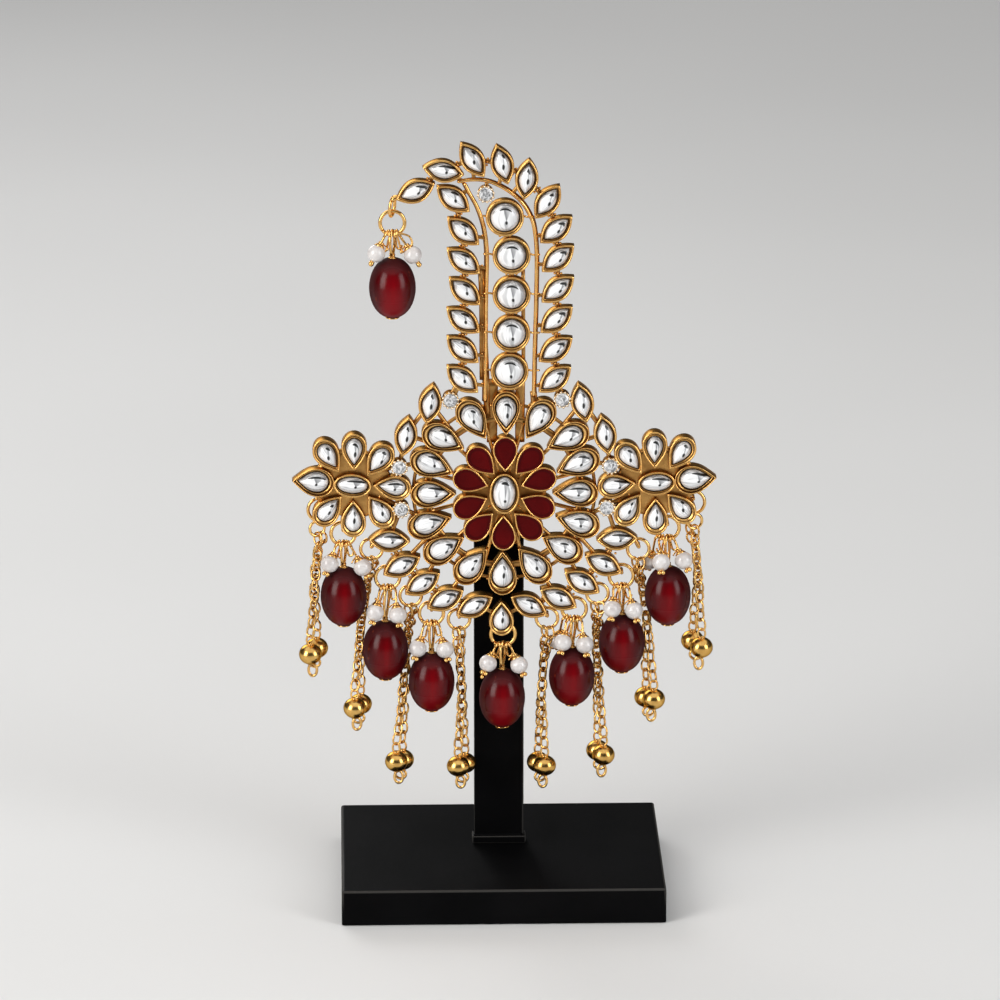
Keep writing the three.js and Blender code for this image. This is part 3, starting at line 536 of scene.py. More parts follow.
def sparkle(setting, gems, x, z, back):
    """Small faceted stone in a milled cup."""
    profile = [(1.6, back), (1.8, back - 0.1), (1.84, RIM_Y + 0.9), (1.86, RIM_Y + 0.42), (1.82, RIM_Y + 0.26), (1.7, RIM_Y + 0.3),
               (1.6, RIM_Y + 0.7), (1.3, RIM_Y + 1.6)]
    t = 2 * np.pi * np.arange(28) / 28
    rows = [np.stack([x + r * np.cos(t), np.full(28, y), z + r * np.sin(t)], 1) for r, y in profile]
    verts, faces = loft(rows)
    p = np.concatenate([np.repeat([0.1, 0.1, 0.2, 0.5, 0.9, 0.6, 0.1, 0.0], 28), [0.15, 0]])
    setting.add(verts, faces, 0, True, p)
    for k in range(12):
        a = 2 * math.pi * (k + 0.3) / 12
        v, f = ball((x + 1.80 * math.cos(a), RIM_Y + 0.20, z + 1.80 * math.sin(a)), 0.30, 8, 6)
        setting.add(v, f, 1, True, 1.0)
    points = []
    for r, y, count, turn in ((1.70, 0.32, 18, 0.0), (1.48, 0.06, 9, 0.5), (1.14, -0.10, 9, 0.0), (0.78, -0.20, 9, 0.5), (0.2, 1.5, 6, 0.0)):
        for k in range(count):
            a = 2 * math.pi * (k + turn) / count
            points.append((x + r * math.cos(a), RIM_Y + y, z + r * math.sin(a)))
    b = bmesh.new()
    for p in points:
        b.verts.new(p)
    bmesh.ops.convex_hull(b, input=b.verts)
    loose = [v for v in b.verts if not v.link_faces]
    bmesh.ops.delete(b, geom=loose, context="VERTS")
    b.verts.index_update()
    verts = [tuple(v.co) for v in b.verts]
    faces = [tuple(v.index for v in f.verts) for f in b.faces]
    b.free()
    # a random tone on each facet, which the material turns into painted light and dark reflections
    gems.add(verts, faces, 1, False, 1.0, tone=[rng.random() for _ in faces])


def granule(part, x, y, z, r=0.3):
    v, f = ball((x, y, z), r, 8, 6)
    part.add(v, f, 0, True, 0.8)


# ------------------------------------------------------------------ materials
class Tree:
    """A few short calls to wire a material."""

    def __init__(self, name):
        self.m = bpy.data.materials.new(name)
        self.m.use_nodes = True
        self.t = self.m.node_tree
        self.b = self.t.nodes["Principled BSDF"]

    def put(self, target, value):
        if isinstance(value, bpy.types.NodeSocket):
            self.t.links.new(value, target)
        else:
            target.default_value = value

    def math(self, op, a, b=0.0, clamp=False):
        n = self.t.nodes.new("ShaderNodeMath")
        n.operation, n.use_clamp = op, clamp
        self.put(n.inputs[0], a)
        self.put(n.inputs[1], b)
        return n.outputs[0]

    def mix(self, fac, a, b):
        n = self.t.nodes.new("ShaderNodeMix")
        n.data_type = "RGBA"
        self.put(n.inputs[0], fac)
        self.put(n.inputs[6], a if isinstance(a, bpy.types.NodeSocket) else (*a, 1.0))
        self.put(n.inputs[7], b if isinstance(b, bpy.types.NodeSocket) else (*b, 1.0))
        return n.outputs[2]

    def span(self, v, lo, hi, out0=0.0, out1=1.0):
        n = self.t.nodes.new("ShaderNodeMapRange")
        n.interpolation_type = "SMOOTHSTEP"
        for s, x in zip(n.inputs[:5], (v, lo, hi, out0, out1)):
            self.put(s, x)
        return n.outputs[0]

    def attribute(self, name):
        n = self.t.nodes.new("ShaderNodeAttribute")
        n.attribute_name = name
        return n

    def value(self, name):
        return self.attribute(name).outputs["Fac"]

    def vector(self, name):
        n = self.t.nodes.new("ShaderNodeSeparateXYZ")
        self.t.links.new(self.attribute(name).outputs["Vector"], n.inputs[0])
        return n.outputs[0], n.outputs[1], n.outputs[2]

    def coords(self):
        return self.t.nodes.new("ShaderNodeTexCoord").outputs["Object"]

    def noise(self, scale, detail=3.0, rough=0.55, stretch=None, distort=0.0):
        n = self.t.nodes.new("ShaderNodeTexNoise")
        n.inputs["Scale"].default_value = scale
        n.inputs["Detail"].default_value = detail
        n.inputs["Roughness"].default_value = rough
        n.inputs["Distortion"].default_value = distort
        v = self.coords()
        if stretch:
            m = self.t.nodes.new("ShaderNodeMapping")
            m.inputs["Scale"].default_value = stretch
            self.t.links.new(v, m.inputs[0])
            v = m.outputs[0]
        self.t.links.new(v, n.inputs["Vector"])
        return n.outputs["Fac"]

    def bump(self, height, strength, distance):
        n = self.t.nodes.new("ShaderNodeBump")
        n.inputs["Strength"].default_value = strength
        n.inputs["Distance"].default_value = distance
        self.t.links.new(height, n.inputs["Height"])
        self.t.links.new(n.outputs[0], self.b.inputs["Normal"])

    def set(self, **values):
        for k, v in values.items():
            self.put(self.b.inputs[k.replace("_", " ")], (*v, 1.0) if isinstance(v, tuple) and len(v) == 3 else v)
        return self


def gold_material(name, crown, hollow, smooth_rough, dull_rough, edge=0.85):
    """Worn gilding, bright on the crowns and brown in the recesses, part wear and patina and part painted highlight and
    painted shade; a little uneven everywhere.
    """
    t = Tree(name)
    # the per-point value paints crowns bright and grooves, side walls and plates dark brown: part wear and patina, part
    # painted highlight and painted shade
    polish = t.value("polish")
    cloud = t.noise(260, 4, 0.6)
    grime = t.noise(900, 3, 0.65)
    worn_and_shaded = t.math("ADD", polish, t.math("MULTIPLY", t.math("SUBTRACT", cloud, 0.5), 0.55))
    worn_and_shaded = t.span(worn_and_shaded, 0.10, 0.95)
    colour = t.mix(worn_and_shaded, hollow, crown)
    shift = t.math("MULTIPLY", t.math("SUBTRACT", t.value("tone"), 0.5), 0.30)
    warm = t.mix(t.span(t.math("ADD", grime, shift), 0.35, 0.75), tuple(c * k for c, k in zip(crown, (0.80, 0.66, 0.50))), crown)
    colour = t.mix(t.math("MULTIPLY", worn_and_shaded, 0.55), colour, warm)
    t.set(Base_Color=colour, Metallic=1.0, Specular_Tint=tuple(edge * (0.41 + 0.59 * c) for c in crown))
    rough = t.math("ADD", t.span(worn_and_shaded, 0.0, 1.0, dull_rough, smooth_rough), t.math("MULTIPLY", t.math("SUBTRACT", grime, 0.5), 0.14))
    t.set(Roughness=rough)
    t.bump(t.noise(1500, 3, 0.6), 0.16, 0.00006)
    return t.m


antique = gold_material("antique_gold_worn_and_shaded", (0.93, 0.56, 0.19), (0.150, 0.050, 0.008), 0.16, 0.40)
bright = gold_material("bright_gold_polished", (0.93, 0.60, 0.22), (0.26, 0.10, 0.018), 0.13, 0.30)
satin = gold_material("satin_gold_balls", (0.80, 0.50, 0.155), (0.28, 0.12, 0.022), 0.235, 0.36, 0.30)
pale = gold_material("pale_gold_milling", (0.95, 0.84, 0.66), (0.60, 0.42, 0.24), 0.20, 0.32)


def foil_material():
    """Silver-foiled clear stone with painted reflections and shade: white field, painted dark arc under the upper edge,
    painted grey wedge down to a dark culet, painted streaks along the outline.
    """
    t = Tree("foiled_glass_stone")
    x, z, r = t.vector("foil")                 # place in the stone's box, and from the centre to the edge
    p, q, bow = t.vector("mark")               # beside and up the line from culet to arc; beside the long axis
    arc_half, dot_half, _ = t.vector("reach")
    tone = t.value("tone")
    ang = t.math("ARCTAN2", x, z)
    size = t.math("SQRT", t.math("ADD", t.math("MULTIPLY", x, x), t.math("MULTIPLY", z, z)))

    def product(*values):
        out = values[0]
        for v in values[1:]:
            out = t.math("MULTIPLY", out, v)
        return out

    # painted reflection: a dark arc, thick in the middle and drawn out at its ends
    share = t.math("DIVIDE", p, arc_half)
    taper = t.math("SUBTRACT", 1.0, t.math("POWER", t.math("ABSOLUTE", share), 2.0), True)
    width = t.math("MULTIPLY", t.math("SQRT", taper), 0.25)
    off = t.math("ABSOLUTE", t.value("lift"))
    arc = product(t.span(t.math("SUBTRACT", width, off), -0.03, 0.07), t.span(q, 0.35, 0.55), t.span(taper, 0.0, 0.06))
    # painted reflection at the culet: a dark drop drawn out along its line
    px, qy = t.math("DIVIDE", p, 0.34), t.math("DIVIDE", q, dot_half)
    dot = t.span(t.math("SQRT", t.math("ADD", t.math("MULTIPLY", px, px), t.math("MULTIPLY", qy, qy))), 0.65, 1.20, 1.0, 0.0)
    line = product(t.span(t.math("ABSOLUTE", p), 0.02, 0.22, 1.0, 0.0), t.span(q, 0.0, 0.1), t.span(q, 0.25, 0.80, 1.0, 0.0))
    # painted reflection of the pavilion: a grey wedge, wide at the arc and closing on the culet, with painted shade
    # along its left side
    left = t.math("MULTIPLY", t.math("MULTIPLY", q, arc_half), -0.36)
    right = t.math("MULTIPLY", t.math("MULTIPLY", q, arc_half), 0.96)
    inside = product(t.span(t.math("SUBTRACT", p, left), -0.03, 0.09), t.span(t.math("SUBTRACT", right, p), -0.04, 0.30))
    wedge = product(inside, t.span(q, -0.02, 0.10), t.span(q, 0.90, 1.00, 1.0, 0.0))
    depth = t.span(t.math("DIVIDE", t.math("SUBTRACT", p, left), arc_half), 0.0, 0.9, 1.0, 0.45)

    def band(u, v, scale, low_edge, high_edge):
        n = t.t.nodes.new("ShaderNodeTexNoise")
        n.noise_dimensions = "2D"
        c = t.t.nodes.new("ShaderNodeCombineXYZ")
        t.put(c.inputs[0], u)
        t.put(c.inputs[1], v)
        t.put(n.inputs["Vector"], c.outputs[0])
        n.inputs["Scale"].default_value = scale
        n.inputs["Detail"].default_value = 3.0
        return t.span(n.outputs["Fac"], low_edge, high_edge)

    seed = t.math("MULTIPLY", tone, 37.0)
    # painted shade on the far side of the keel: a light grey flank with painted streaks bowed like the outline, and a
    # grey line along the keel
    flank = t.span(bow, -0.02, 0.16)
    streak = band(t.math("MULTIPLY", bow, 3.2), t.math("ADD", seed, t.math("MULTIPLY", size, 0.25)), 2.4, 0.48, 0.66)
    lines = product(streak, t.span(size, 0.12, 0.45, 0.10, 0.85), t.span(bow, -0.45, 0.10, 0.35, 1.0))
    keel = product(t.span(t.math("ABSOLUTE", bow), 0.01, 0.06, 1.0, 0.0), t.span(q, 0.0, -0.15), t.span(size, 0.2, 0.5))
    # painted reflections above the arc: grey lines that run with the edge
    upper = product(t.span(z, 0.10, 0.45), t.span(r, 0.60, 0.76))
    rings = band(t.math("MULTIPLY", r, 5.0), t.math("ADD", seed, t.math("MULTIPLY", ang, 0.55)), 2.6, 0.42, 0.60)
    # painted reflections low on the stone: grey streaks near the lower edge, towards the lower right
    lower = product(t.span(t.math("SUBTRACT", t.math("MULTIPLY", x, 0.5), z), 0.15, 0.60), t.span(r, 0.66, 0.82))
    # painted shade round the edge: a grey ring broken by painted glints
    edge = t.span(r, 0.91, 1.0)
    broken = band(t.math("MULTIPLY", ang, 2.6), t.math("ADD", seed, 5.0), 2.4, 0.46, 0.60)
    # the painted shade, streaks, wedge and edge ring laid in turn over the white field
    colour = t.mix(t.math("MULTIPLY", flank, 0.30), (0.96, 0.965, 0.975), (0.40, 0.41, 0.43))
    colour = t.mix(t.math("MULTIPLY", lines, 0.66), colour, (0.20, 0.205, 0.215))
    colour = t.mix(t.math("MULTIPLY", keel, 0.45), colour, (0.16, 0.165, 0.175))
    colour = t.mix(t.math("MULTIPLY", upper, t.math("ADD", 0.30, t.math("MULTIPLY", rings, 0.55))), colour, (0.17, 0.17, 0.175))
    colour = t.mix(t.math("MULTIPLY", lower, t.math("ADD", 0.08, t.math("MULTIPLY", rings, 0.42))), colour, (0.20, 0.20, 0.21))
    colour = t.mix(product(wedge, depth, 0.86), colour, (0.22, 0.225, 0.24))
    colour = t.mix(t.math("MULTIPLY", edge, t.math("SUBTRACT", 0.90, t.math("MULTIPLY", broken, 0.50))), colour, (0.150, 0.142, 0.132))
    # the darkest painted reflections: the arc, the culet and the faint line between them
    dark = t.math("MAXIMUM", arc, t.math("MAXIMUM", dot, t.math("MULTIPLY", line, 0.30)))
    colour = t.mix(t.math("MULTIPLY", dark, 0.98), colour, (0.006, 0.006, 0.006))
    t.set(Base_Color=colour, Metallic=0.10, Roughness=0.30, IOR=1.50, Specular_IOR_Level=0.22, Coat_Weight=0.35, Coat_Roughness=0.04)
    t.bump(t.noise(420, 2, 0.5), 0.06, 0.00005)
    return t.m


foiled = foil_material()


def sparkle_material():
    t = Tree("faceted_clear_stone")
    tone = t.value("tone")
    spot = t.noise(1500, 3, 0.7)
    # each facet gets a random grey between dark and light, with fine speckle: painted reflections of a clear cut stone
    v = t.math("ADD", t.math("MULTIPLY", tone, 0.55), t.math("MULTIPLY", t.math("SUBTRACT", spot, 0.5), 1.5))
    colour = t.mix(t.span(v, -0.05, 0.55), (0.20, 0.205, 0.215), (0.80, 0.805, 0.82))
    t.set(Base_Color=colour, Metallic=0.15, Roughness=0.16, Coat_Weight=0.5, Coat_Roughness=0.03)
    return t.m


faceted = sparkle_material()


def enamel_material():
    t = Tree("dark_red_enamel")
    _, _, r = t.vector("foil")
    cloud = t.noise(150, 3, 0.5)
    colour = t.mix(t.span(cloud, 0.3, 0.7), (0.064, 0.0008, 0.0013), (0.094, 0.0014, 0.0019))
    # painted shade: a darker ring inside the edge, where the enamel steps down
    colour = t.mix(t.math("MULTIPLY", t.span(r, 0.66, 0.82), 0.70), colour, (0.036, 0.0008, 0.0011))
    # painted highlight: a lighter red line just inside the gold
    colour = t.mix(t.math("MULTIPLY", t.span(r, 0.86, 0.95), 0.80), colour, (0.120, 0.0040, 0.0042))
    t.set(Base_Color=colour, Roughness=t.span(t.noise(500, 3, 0.6), 0.3, 0.7, 0.40, 0.52), Specular_IOR_Level=0.07)
    t.bump(t.noise(650, 2, 0.5), 0.10, 0.00005)
    return t.m


enamel = enamel_material()


def bead_material():
    """Dark red glass, painted: wine-dark at the edges and top as painted shade, clearer red low in the middle as
    painted light coming through, with faint swirls and painted orange-brown reflections of the gold near the rim.
    """
    t = Tree("dark_red_glass")
    x, z, r = t.vector("foil")   # across and up the bead, -1 to 1
    swirl = t.noise(120, 4, 0.6, (1.0, 1.0, 0.35), 0.8)
    # painted light coming through: most down the middle, a little more low down
    middle = t.math("MULTIPLY", t.span(t.math("ABSOLUTE", t.math("SUBTRACT", x, 0.02)), 0.98, 0.10), t.span(z, 1.05, 0.25))
    low = t.math("MULTIPLY", t.span(z, 0.30, -0.85), t.span(t.math("ABSOLUTE", x), 0.85, 0.10))
    glow = t.math("ADD", t.math("ADD", t.math("MULTIPLY", middle, 0.62), t.math("MULTIPLY", low, 0.30)), t.math("MULTIPLY", t.math("SUBTRACT", swirl, 0.5), 0.30))
    clear = t.value("tone")
    deep = t.mix(clear, (0.106, 0.0008, 0.0022), (0.185, 0.0018, 0.0050))
    colour = t.mix(t.span(glow, -0.05, 0.95), (0.038, 0.0006, 0.0014), deep)
    # painted light coming through: a clearer streak straight down the middle; painted shade: a wine-dark rim
    streak = t.math("MULTIPLY", t.span(t.math("ABSOLUTE", t.math("SUBTRACT", x, 0.05)), 0.20, 0.02), t.span(t.math("ABSOLUTE", z), 0.90, 0.1))
    colour = t.mix(t.math("MULTIPLY", streak, 0.38), colour, (0.215, 0.0014, 0.0040))
    rim = t.math("SQRT", t.math("ADD", t.math("MULTIPLY", x, x), t.math("MULTIPLY", z, z)))
    colour = t.mix(t.math("MULTIPLY", t.span(rim, 0.76, 1.0), 0.70), colour, (0.036, 0.0006, 0.0013))
    # painted reflections of the gold: fine orange-brown flecks round the rim
    seed = t.math("MULTIPLY", t.span(t.noise(900, 1, 0.5), 0.66, 0.76), t.span(rim, 0.55, 0.85))
    colour = t.mix(t.math("MULTIPLY", seed, 0.5), colour, (0.22, 0.035, 0.012))
    # the gloss is duller at the rim and low down, where the beads rub
    rough = t.math("MAXIMUM", t.span(z, -0.70, 0.10, 0.34, 0.20), t.span(rim, 0.72, 0.98, 0.20, 0.80))
    t.set(Base_Color=colour, Roughness=rough, IOR=1.42, Specular_IOR_Level=0.24)
    t.bump(t.noise(260, 3, 0.5), 0.05, 0.0001)
    return t.m


glass_red = bead_material()


def pearl_material():
    t = Tree("white_pearl")
    cloud = t.noise(420, 4, 0.6, None, 0.6)
    colour = t.mix(t.span(cloud, 0.3, 0.7), (0.57, 0.525, 0.510), (0.76, 0.730, 0.715))
    lines = t.noise(1100, 3, 0.6, (0.25, 1.0, 1.0), 0.4)
    colour = t.mix(t.math("MULTIPLY", t.span(lines, 0.5, 0.68), 0.45), colour, (0.86, 0.845, 0.84))
    t.set(Base_Color=colour, Roughness=t.span(cloud, 0.3, 0.7, 0.34, 0.22), Coat_Weight=0.7, Coat_Roughness=0.12,
          Sheen_Weight=0.15, Sheen_Roughness=0.4)
    t.bump(lines, 0.12, 0.00008)
    return t.m


pearl = pearl_material()


def stand_material():
    """Satin black lacquer with a fine orange-peel, slight rubbing in the roughness, and a painted highlight along the
    bevelled edges.
    """
    t = Tree("satin_black_lacquer")
    cloud = t.noise(28, 4, 0.6)
    rub = t.noise(55, 5, 0.7, (1.0, 0.25, 1.0))
    colour = t.mix(t.span(cloud, 0.3, 0.7), (0.0018, 0.0018, 0.0020), (0.0036, 0.0035, 0.0038))
    # painted highlight: a lighter grey along the bevelled edges
    colour = t.mix(t.math("MULTIPLY", t.span(t.value("polish"), 0.60, 1.0), 0.65), colour, (0.060, 0.057, 0.053))
    t.set(Base_Color=colour, Roughness=t.span(rub, 0.3, 0.7, 0.38, 0.50), Specular_IOR_Level=0.03)
    t.bump(t.noise(1400, 3, 0.6), 0.10, 0.00012)
    return t.m


lacquer = stand_material()


# ---------------------------------------------------------------- brooch frame
crest = Part("crest_setting")
medallion = Part("medallion_setting")
crest_stones = Part("crest_leaf_stones")
medallion_stones = Part("medallion_stones")
enamels_part = Part("enamel_petals")


def shade(part, pieces, polish=0.35, mat=0):
    v, f = pieces
    if len(v):
        part.add(v, f, mat, True, polish)


for x, z, aim in crest_leaves + inner_leaves:
    cup(crest, "leaf", x, z, aim, CREST_BACK)
    stone(crest_stones, "leaf", x, z, aim)
for x, z in crest_rounds:
    cup(crest, "round", x, z, 90, CREST_BACK)
sparkle(crest, crest_stones, -3.6, 168.1, CREST_BACK)

for cells in (crest_leaves, inner_leaves, [(x, z, 0) for x, z in crest_rounds]):
    for (x1, z1, _), (x2, z2, _) in zip(cells, cells[1:]):
        shade(crest, bar((x1, z1), (x2, z2), 1.3, CREST_STRIP, 0.8))
for rail in (right_rail, left_rail):
    path = smooth_path([(x, -6.75, z) for x, z in rail], 0.7)
    v, f = tube(path, 0.5, 10, False, (0.86, 1.0))
    crest.add(v, f, 0, True, 0.95)
    path2 = path + np.array([0.0, 0.85, 0.0])   # the lower strip of the channel, seen beside the wire
    off = 0.34 if rail is right_rail else -0.34
    v, f = tube(path2 + np.array([off, 0, 0]), 0.36, 8, False, (1.0, 0.9))
    crest.add(v, f, 0, True, 0.18)
for i, (x, z) in enumerate(crest_rounds):
    lo, hi = (-3.9, 8.1) if i else (-4.8, 6.8)
    for a, b, kink in ((lo, x - 4.1, 0.25), (x + 4.1, hi, -0.1)):
        path = smooth_path([(a - 0.1, -6.9, z + 0.35), (a + 0.3, -7.2, z + 0.3), ((a + b) / 2, -7.0, z + 0.15 + kink), (b + 0.1, -6.9, z + 0.1), (b + 0.5, -6.6, z)], 0.35)
        v, f = tube(path, 0.25, 7)
        crest.add(v, f, 0, True, 0.75)
    for k in (-1.15, 0.0, 1.15):
        granule(crest, x + k, -7.05, z - 4.35 - 0.1 * abs(k) + 0.12, 0.3)
for cells, s in ((crest_leaves[5:], 1), (inner_leaves[1:], -1)):
    for x, z, aim in cells:
        inner_x = 7.6 if s > 0 else -3.5
        shade(crest, bar((inner_x, z - 1.9), (x - s * 2.4, z - 1.4), 0.8, CREST_STRIP), 0.45)
        granule(crest, inner_x + s * 0.95, -6.7, z - 1.2, 0.26)
for (x1, z1), (x2, z2) in (((-13.2, 173.8), (-8.5, 170.6)), ((-11.0, 167.3), (-7.6, 168.6)), ((-3.6, 168.1), (-3.3, 171.0)),
                           ((5.7, 171.8), (2.4, 168.0)), ((-6.6, 174), (-6.2, 171)), ((0.1, 173), (-0.6, 169.9))):
    shade(crest, bar((x1, z1), (x2, z2), 0.9, CREST_STRIP), 0.45)
for cells in (crest_leaves, inner_leaves):
    for (x1, z1, a1), (x2, z2, a2) in zip(cells, cells[1:]):
        mx, mz = (x1 + x2) / 2, (z1 + z2) / 2
        d = math.atan2(z2 - z1, x2 - x1) + math.pi / 2
        for k in (-0.85, 0.0, 0.85):
            granule(crest, mx + k * math.cos(d) * 0.9, -6.85, mz + k * math.sin(d) * 0.9, 0.29)
# straps at the back that carry the crest down to the medallion
for (p, q, w, span) in (((-4.6, 150), (-3.2, 115), 1.6, STRIP), ((7.3, 121), (7.8, 115), 1.6, STRIP),
                        ((-2.0, 124), (-2.2, 109), 2.4, (-6.1, -5.3)), ((4.3, 124), (4.2, 109), 2.2, (-6.1, -5.3)),
                        ((12.1, 124.7), (axis_at(119.5) + 12.8, 119.55), 1.6, CREST_STRIP),
                        ((-9.0, 124.8), (axis_at(119.5) - 12.8, 119.55), 1.6, CREST_STRIP),
                        ((-4.7, 150), (-4.6, 124), 0.9, (-6.4, -5.7)), ((4.9, 150), (5.0, 128), 0.9, (-6.4, -5.7))):
    shade(crest, bar(p, q, w, span), 0.4)


def at(radius, place, side):
    t = math.radians(place)
    z = AXIS_Z + radius * math.sin(t)
    return axis_at(z) + side * radius * math.cos(t), z


def mirrored(point, side):
    return point if side > 0 else 180 - point


for table, kind in ((drops, "drop"), (enamels, "enamel")):
    for radius, place, point in table:
        for side in ((1,) if abs(place) == 90 else (1, -1)):
            x, z = at(radius, place, side)
            cup(medallion, kind, x, z, mirrored(point, side), CELL_BACK)
            if kind == "drop":
                stone(medallion_stones, kind, x, z, mirrored(point, side))
            else:
                enamel_pad(enamels_part, kind, x, z, mirrored(point, side))
cup(medallion, "heart", AXIS_X, AXIS_Z, 90, CELL_BACK)


def hoop(radius, count, width, span, polish=0.4):
    t = 2 * np.pi * np.arange(count) / count
    y0, y1 = span
    e = 0.28 * min(width, y1 - y0)
    h = width / 2
    rings = []
    for a in t:
        c, s = math.cos(a), math.sin(a)
        rings.append(np.array([(AXIS_X + (radius + d) * c, y, AXIS_Z + (radius + d) * s) for d, y in
                               ((-h, y0 + e), (-h + e, y0), (h - e, y0), (h, y0 + e), (h, y1 - e), (h - e, y1), (-h + e, y1), (-h, y1 - e))]))
    verts = np.concatenate(rings)
    faces = grid_faces(count, 8)
    last = (count - 1) * 8
    faces += [(last + j, last + (j + 1) % 8, (j + 1) % 8, j) for j in range(8)]
    medallion.add(verts, faces, 0, True, polish)


hoop(17.6, 64, 1.5, STRIP)
hoop(20.9, 72, 0.8, (-5.9, -5.1))
# plate under the enamelled flower
t = 2 * np.pi * np.arange(60) / 60
rows = []
for r, y in ((0.9, -5.0), (0.985, -5.05), (1.0, -5.25), (1.0, -6.0), (0.985, -6.2), (0.9, -6.26), (0.6, -6.28), (0.3, -6.28)):
    rows.append(np.stack([AXIS_X + 9.7 * r * np.cos(t), np.full(60, y), AXIS_Z + 9.7 * r * np.sin(t)], 1))
v, f = loft(rows)
medallion.add(v, f, 0, True, 0.30)
for k in range(12):
    a = math.radians(30 * k + 15)
    shade(medallion, bar((AXIS_X + 4.4 * math.cos(a), AXIS_Z + 4.4 * math.sin(a)),
                         (AXIS_X + 17.6 * math.cos(a), AXIS_Z + 17.6 * math.sin(a)), 1.1, STRIP, 0.75), 0.5)
for radius, place, point in drops:
    for side in ((1,) if abs(place) == 90 else (1, -1)):
        # granules at the shoulders of each stone
        x, z = at(radius, place, side)
        a = math.radians(mirrored(point, side))
        for s in (-1, 1):
            px, pz = x - 1.6 * math.cos(a) - s * 3.45 * math.sin(a), z - 1.6 * math.sin(a) + s * 3.45 * math.cos(a)
            granule(medallion, px, -6.6, pz, 0.3)

for side in (1, -1):
    def mirror(s, z):
        return axis_at(z) + side * s, z

    places = []
    for kind, s, z, aim in side_cells:
        x, z = mirror(s, z)
        places.append((x, z))
        if kind == "spark":
            sparkle(medallion, medallion_stones, x, z, CELL_BACK)
        else:
            cup(medallion, kind, x, z, mirrored(aim, side), CELL_BACK)
            stone(medallion_stones, kind, x, z, mirrored(aim, side))
    for p, q in zip(places, places[1:]):
        shade(medallion, bar(p, q, 1.3, STRIP, 0.8), 0.45)
    for p, q in ((places[9], (axis_at(67.0), 67.0)), (places[0], at(19.35, 67.5, side)), (places[3], at(18.35, 23, side)),
                 (places[4], at(18.55, -22, side)), (places[7], at(18.8, -44, side)), (places[8], at(18.6, -67.5, side)),
                 (places[6], at(18.55, -30, side)), (places[1], at(19.5, 50, side)), (places[2], at(19.4, 36, side))):
        shade(medallion, bar(p, q, 1.2, STRIP, 0.8), 0.45)
    for (x1, z1), (x2, z2) in zip(places[5:], places[6:]):
        mx, mz = (x1 + x2) / 2, (z1 + z2) / 2
        d = math.atan2(z2 - z1, x2 - x1) + math.pi / 2
        for k in (-1.0, 0.2, 1.4):
            granule(medallion, mx + k * math.cos(d), -6.6, mz + k * math.sin(d), 0.3)
    fx, fz = mirror(FLOWER_SIDE, FLOWER_Z)
    # plate behind the flower, seen between the petals round the eye
    t = 2 * np.pi * np.arange(60) / 60
    rows = []
    for r, y in ((0.9, -5.0), (0.985, -5.05), (1.0, -5.25), (1.0, -6.0), (0.985, -6.2), (0.9, -6.26), (0.6, -6.28), (0.3, -6.28)):
        rows.append(np.stack([fx + 9.0 * r * np.cos(t), np.full(60, y), fz + 8.0 * r * np.sin(t)], 1))
    v, f = loft(rows)
    medallion.add(v, f, 0, True, 0.47)
    for kind, dx, dz, point in flower:
        x, z = fx + side * dx, fz + dz
        cup(medallion, kind, x, z, mirrored(point, side), CELL_BACK)
        stone(medallion_stones, kind, x, z, mirrored(point, side))
    # collars that join neighbouring petals at the rim of the flower
    ring = [(dx, dz) for _, dx, dz, _ in flower[2:]] + [(9.0, 0.9)]
    ring.sort(key=lambda p: math.atan2(p[1], p[0]))
    for (x1, z1), (x2, z2) in zip(ring, ring[1:] + ring[:1]):
        shade(medallion, bar((fx + side * x1 * 1.05, fz + z1 * 1.05), (fx + side * x2 * 1.05, fz + z2 * 1.05), 0.9, (-6.0, -5.2)), 0.45)
    for p, q in ((places[3], (fx - side * 6, fz + 3)), (places[4], (fx - side * 6, fz - 3))):
        shade(medallion, bar(p, q, 1.3, STRIP, 0.8), 0.45)
x, z = axis_at(67.0), 67.0
cup(medallion, "foot", x, z, 90, CELL_BACK)
stone(medallion_stones, "foot", x, z, 90)

# pegs that the jump rings hang on, and the eye of the tip pendant
for anchor, rx, rz, r, wire in [(peg_drop[i], p[0], p[1], RING_R, RING_WIRE) for i, p in enumerate(pendants) if i] + \
        [(peg_chain[i], t[0], t[1], t[2], CHAIN_WIRE) for i, t in enumerate(tassels)]:
    pz = rz + r - wire - 0.3 - 0.55
    shade(medallion, bar(anchor, (rx, pz), 0.9, STRIP), 0.5)
    v, f = tube([(rx, STRIP[0] + 0.3, pz), (rx, -4.6, pz), (rx, HANG_Y + 0.8, pz)], 0.42, 10)
    medallion.add(v, f, 0, True, 0.6)
tx, tz = pendants[0][0], pendants[0][1]
eye_z = tz + RING_R - RING_WIRE - 0.3 - 0.42 - 0.05 + 2.2
u = np.array([0.42, 0.908, 0.0])
loop_path = circle((tx, HANG_Y, eye_z), 1.3, u, (0.10, 0, 0.995), 30, 0, 2 * math.pi, 2.2 / 1.3)
v, f = tube(loop_path, 0.4, 10, True)
crest.add(v, f, 0, True, 0.95)
shade(crest, bar((tx - 0.1, eye_z + 2.2), (-21.7, 168.0), 1.0, (-6.6, -5.2)), 0.6)
v, f = tube(smooth_path([(tx + 0.15, HANG_Y, eye_z + 2.1), (tx + 0.5, -4.6, eye_z + 2.55), (tx + 1.2, -5.8, eye_z + 3.0)], 0.4), 0.42, 8)
crest.add(v, f, 0, True, 0.8)

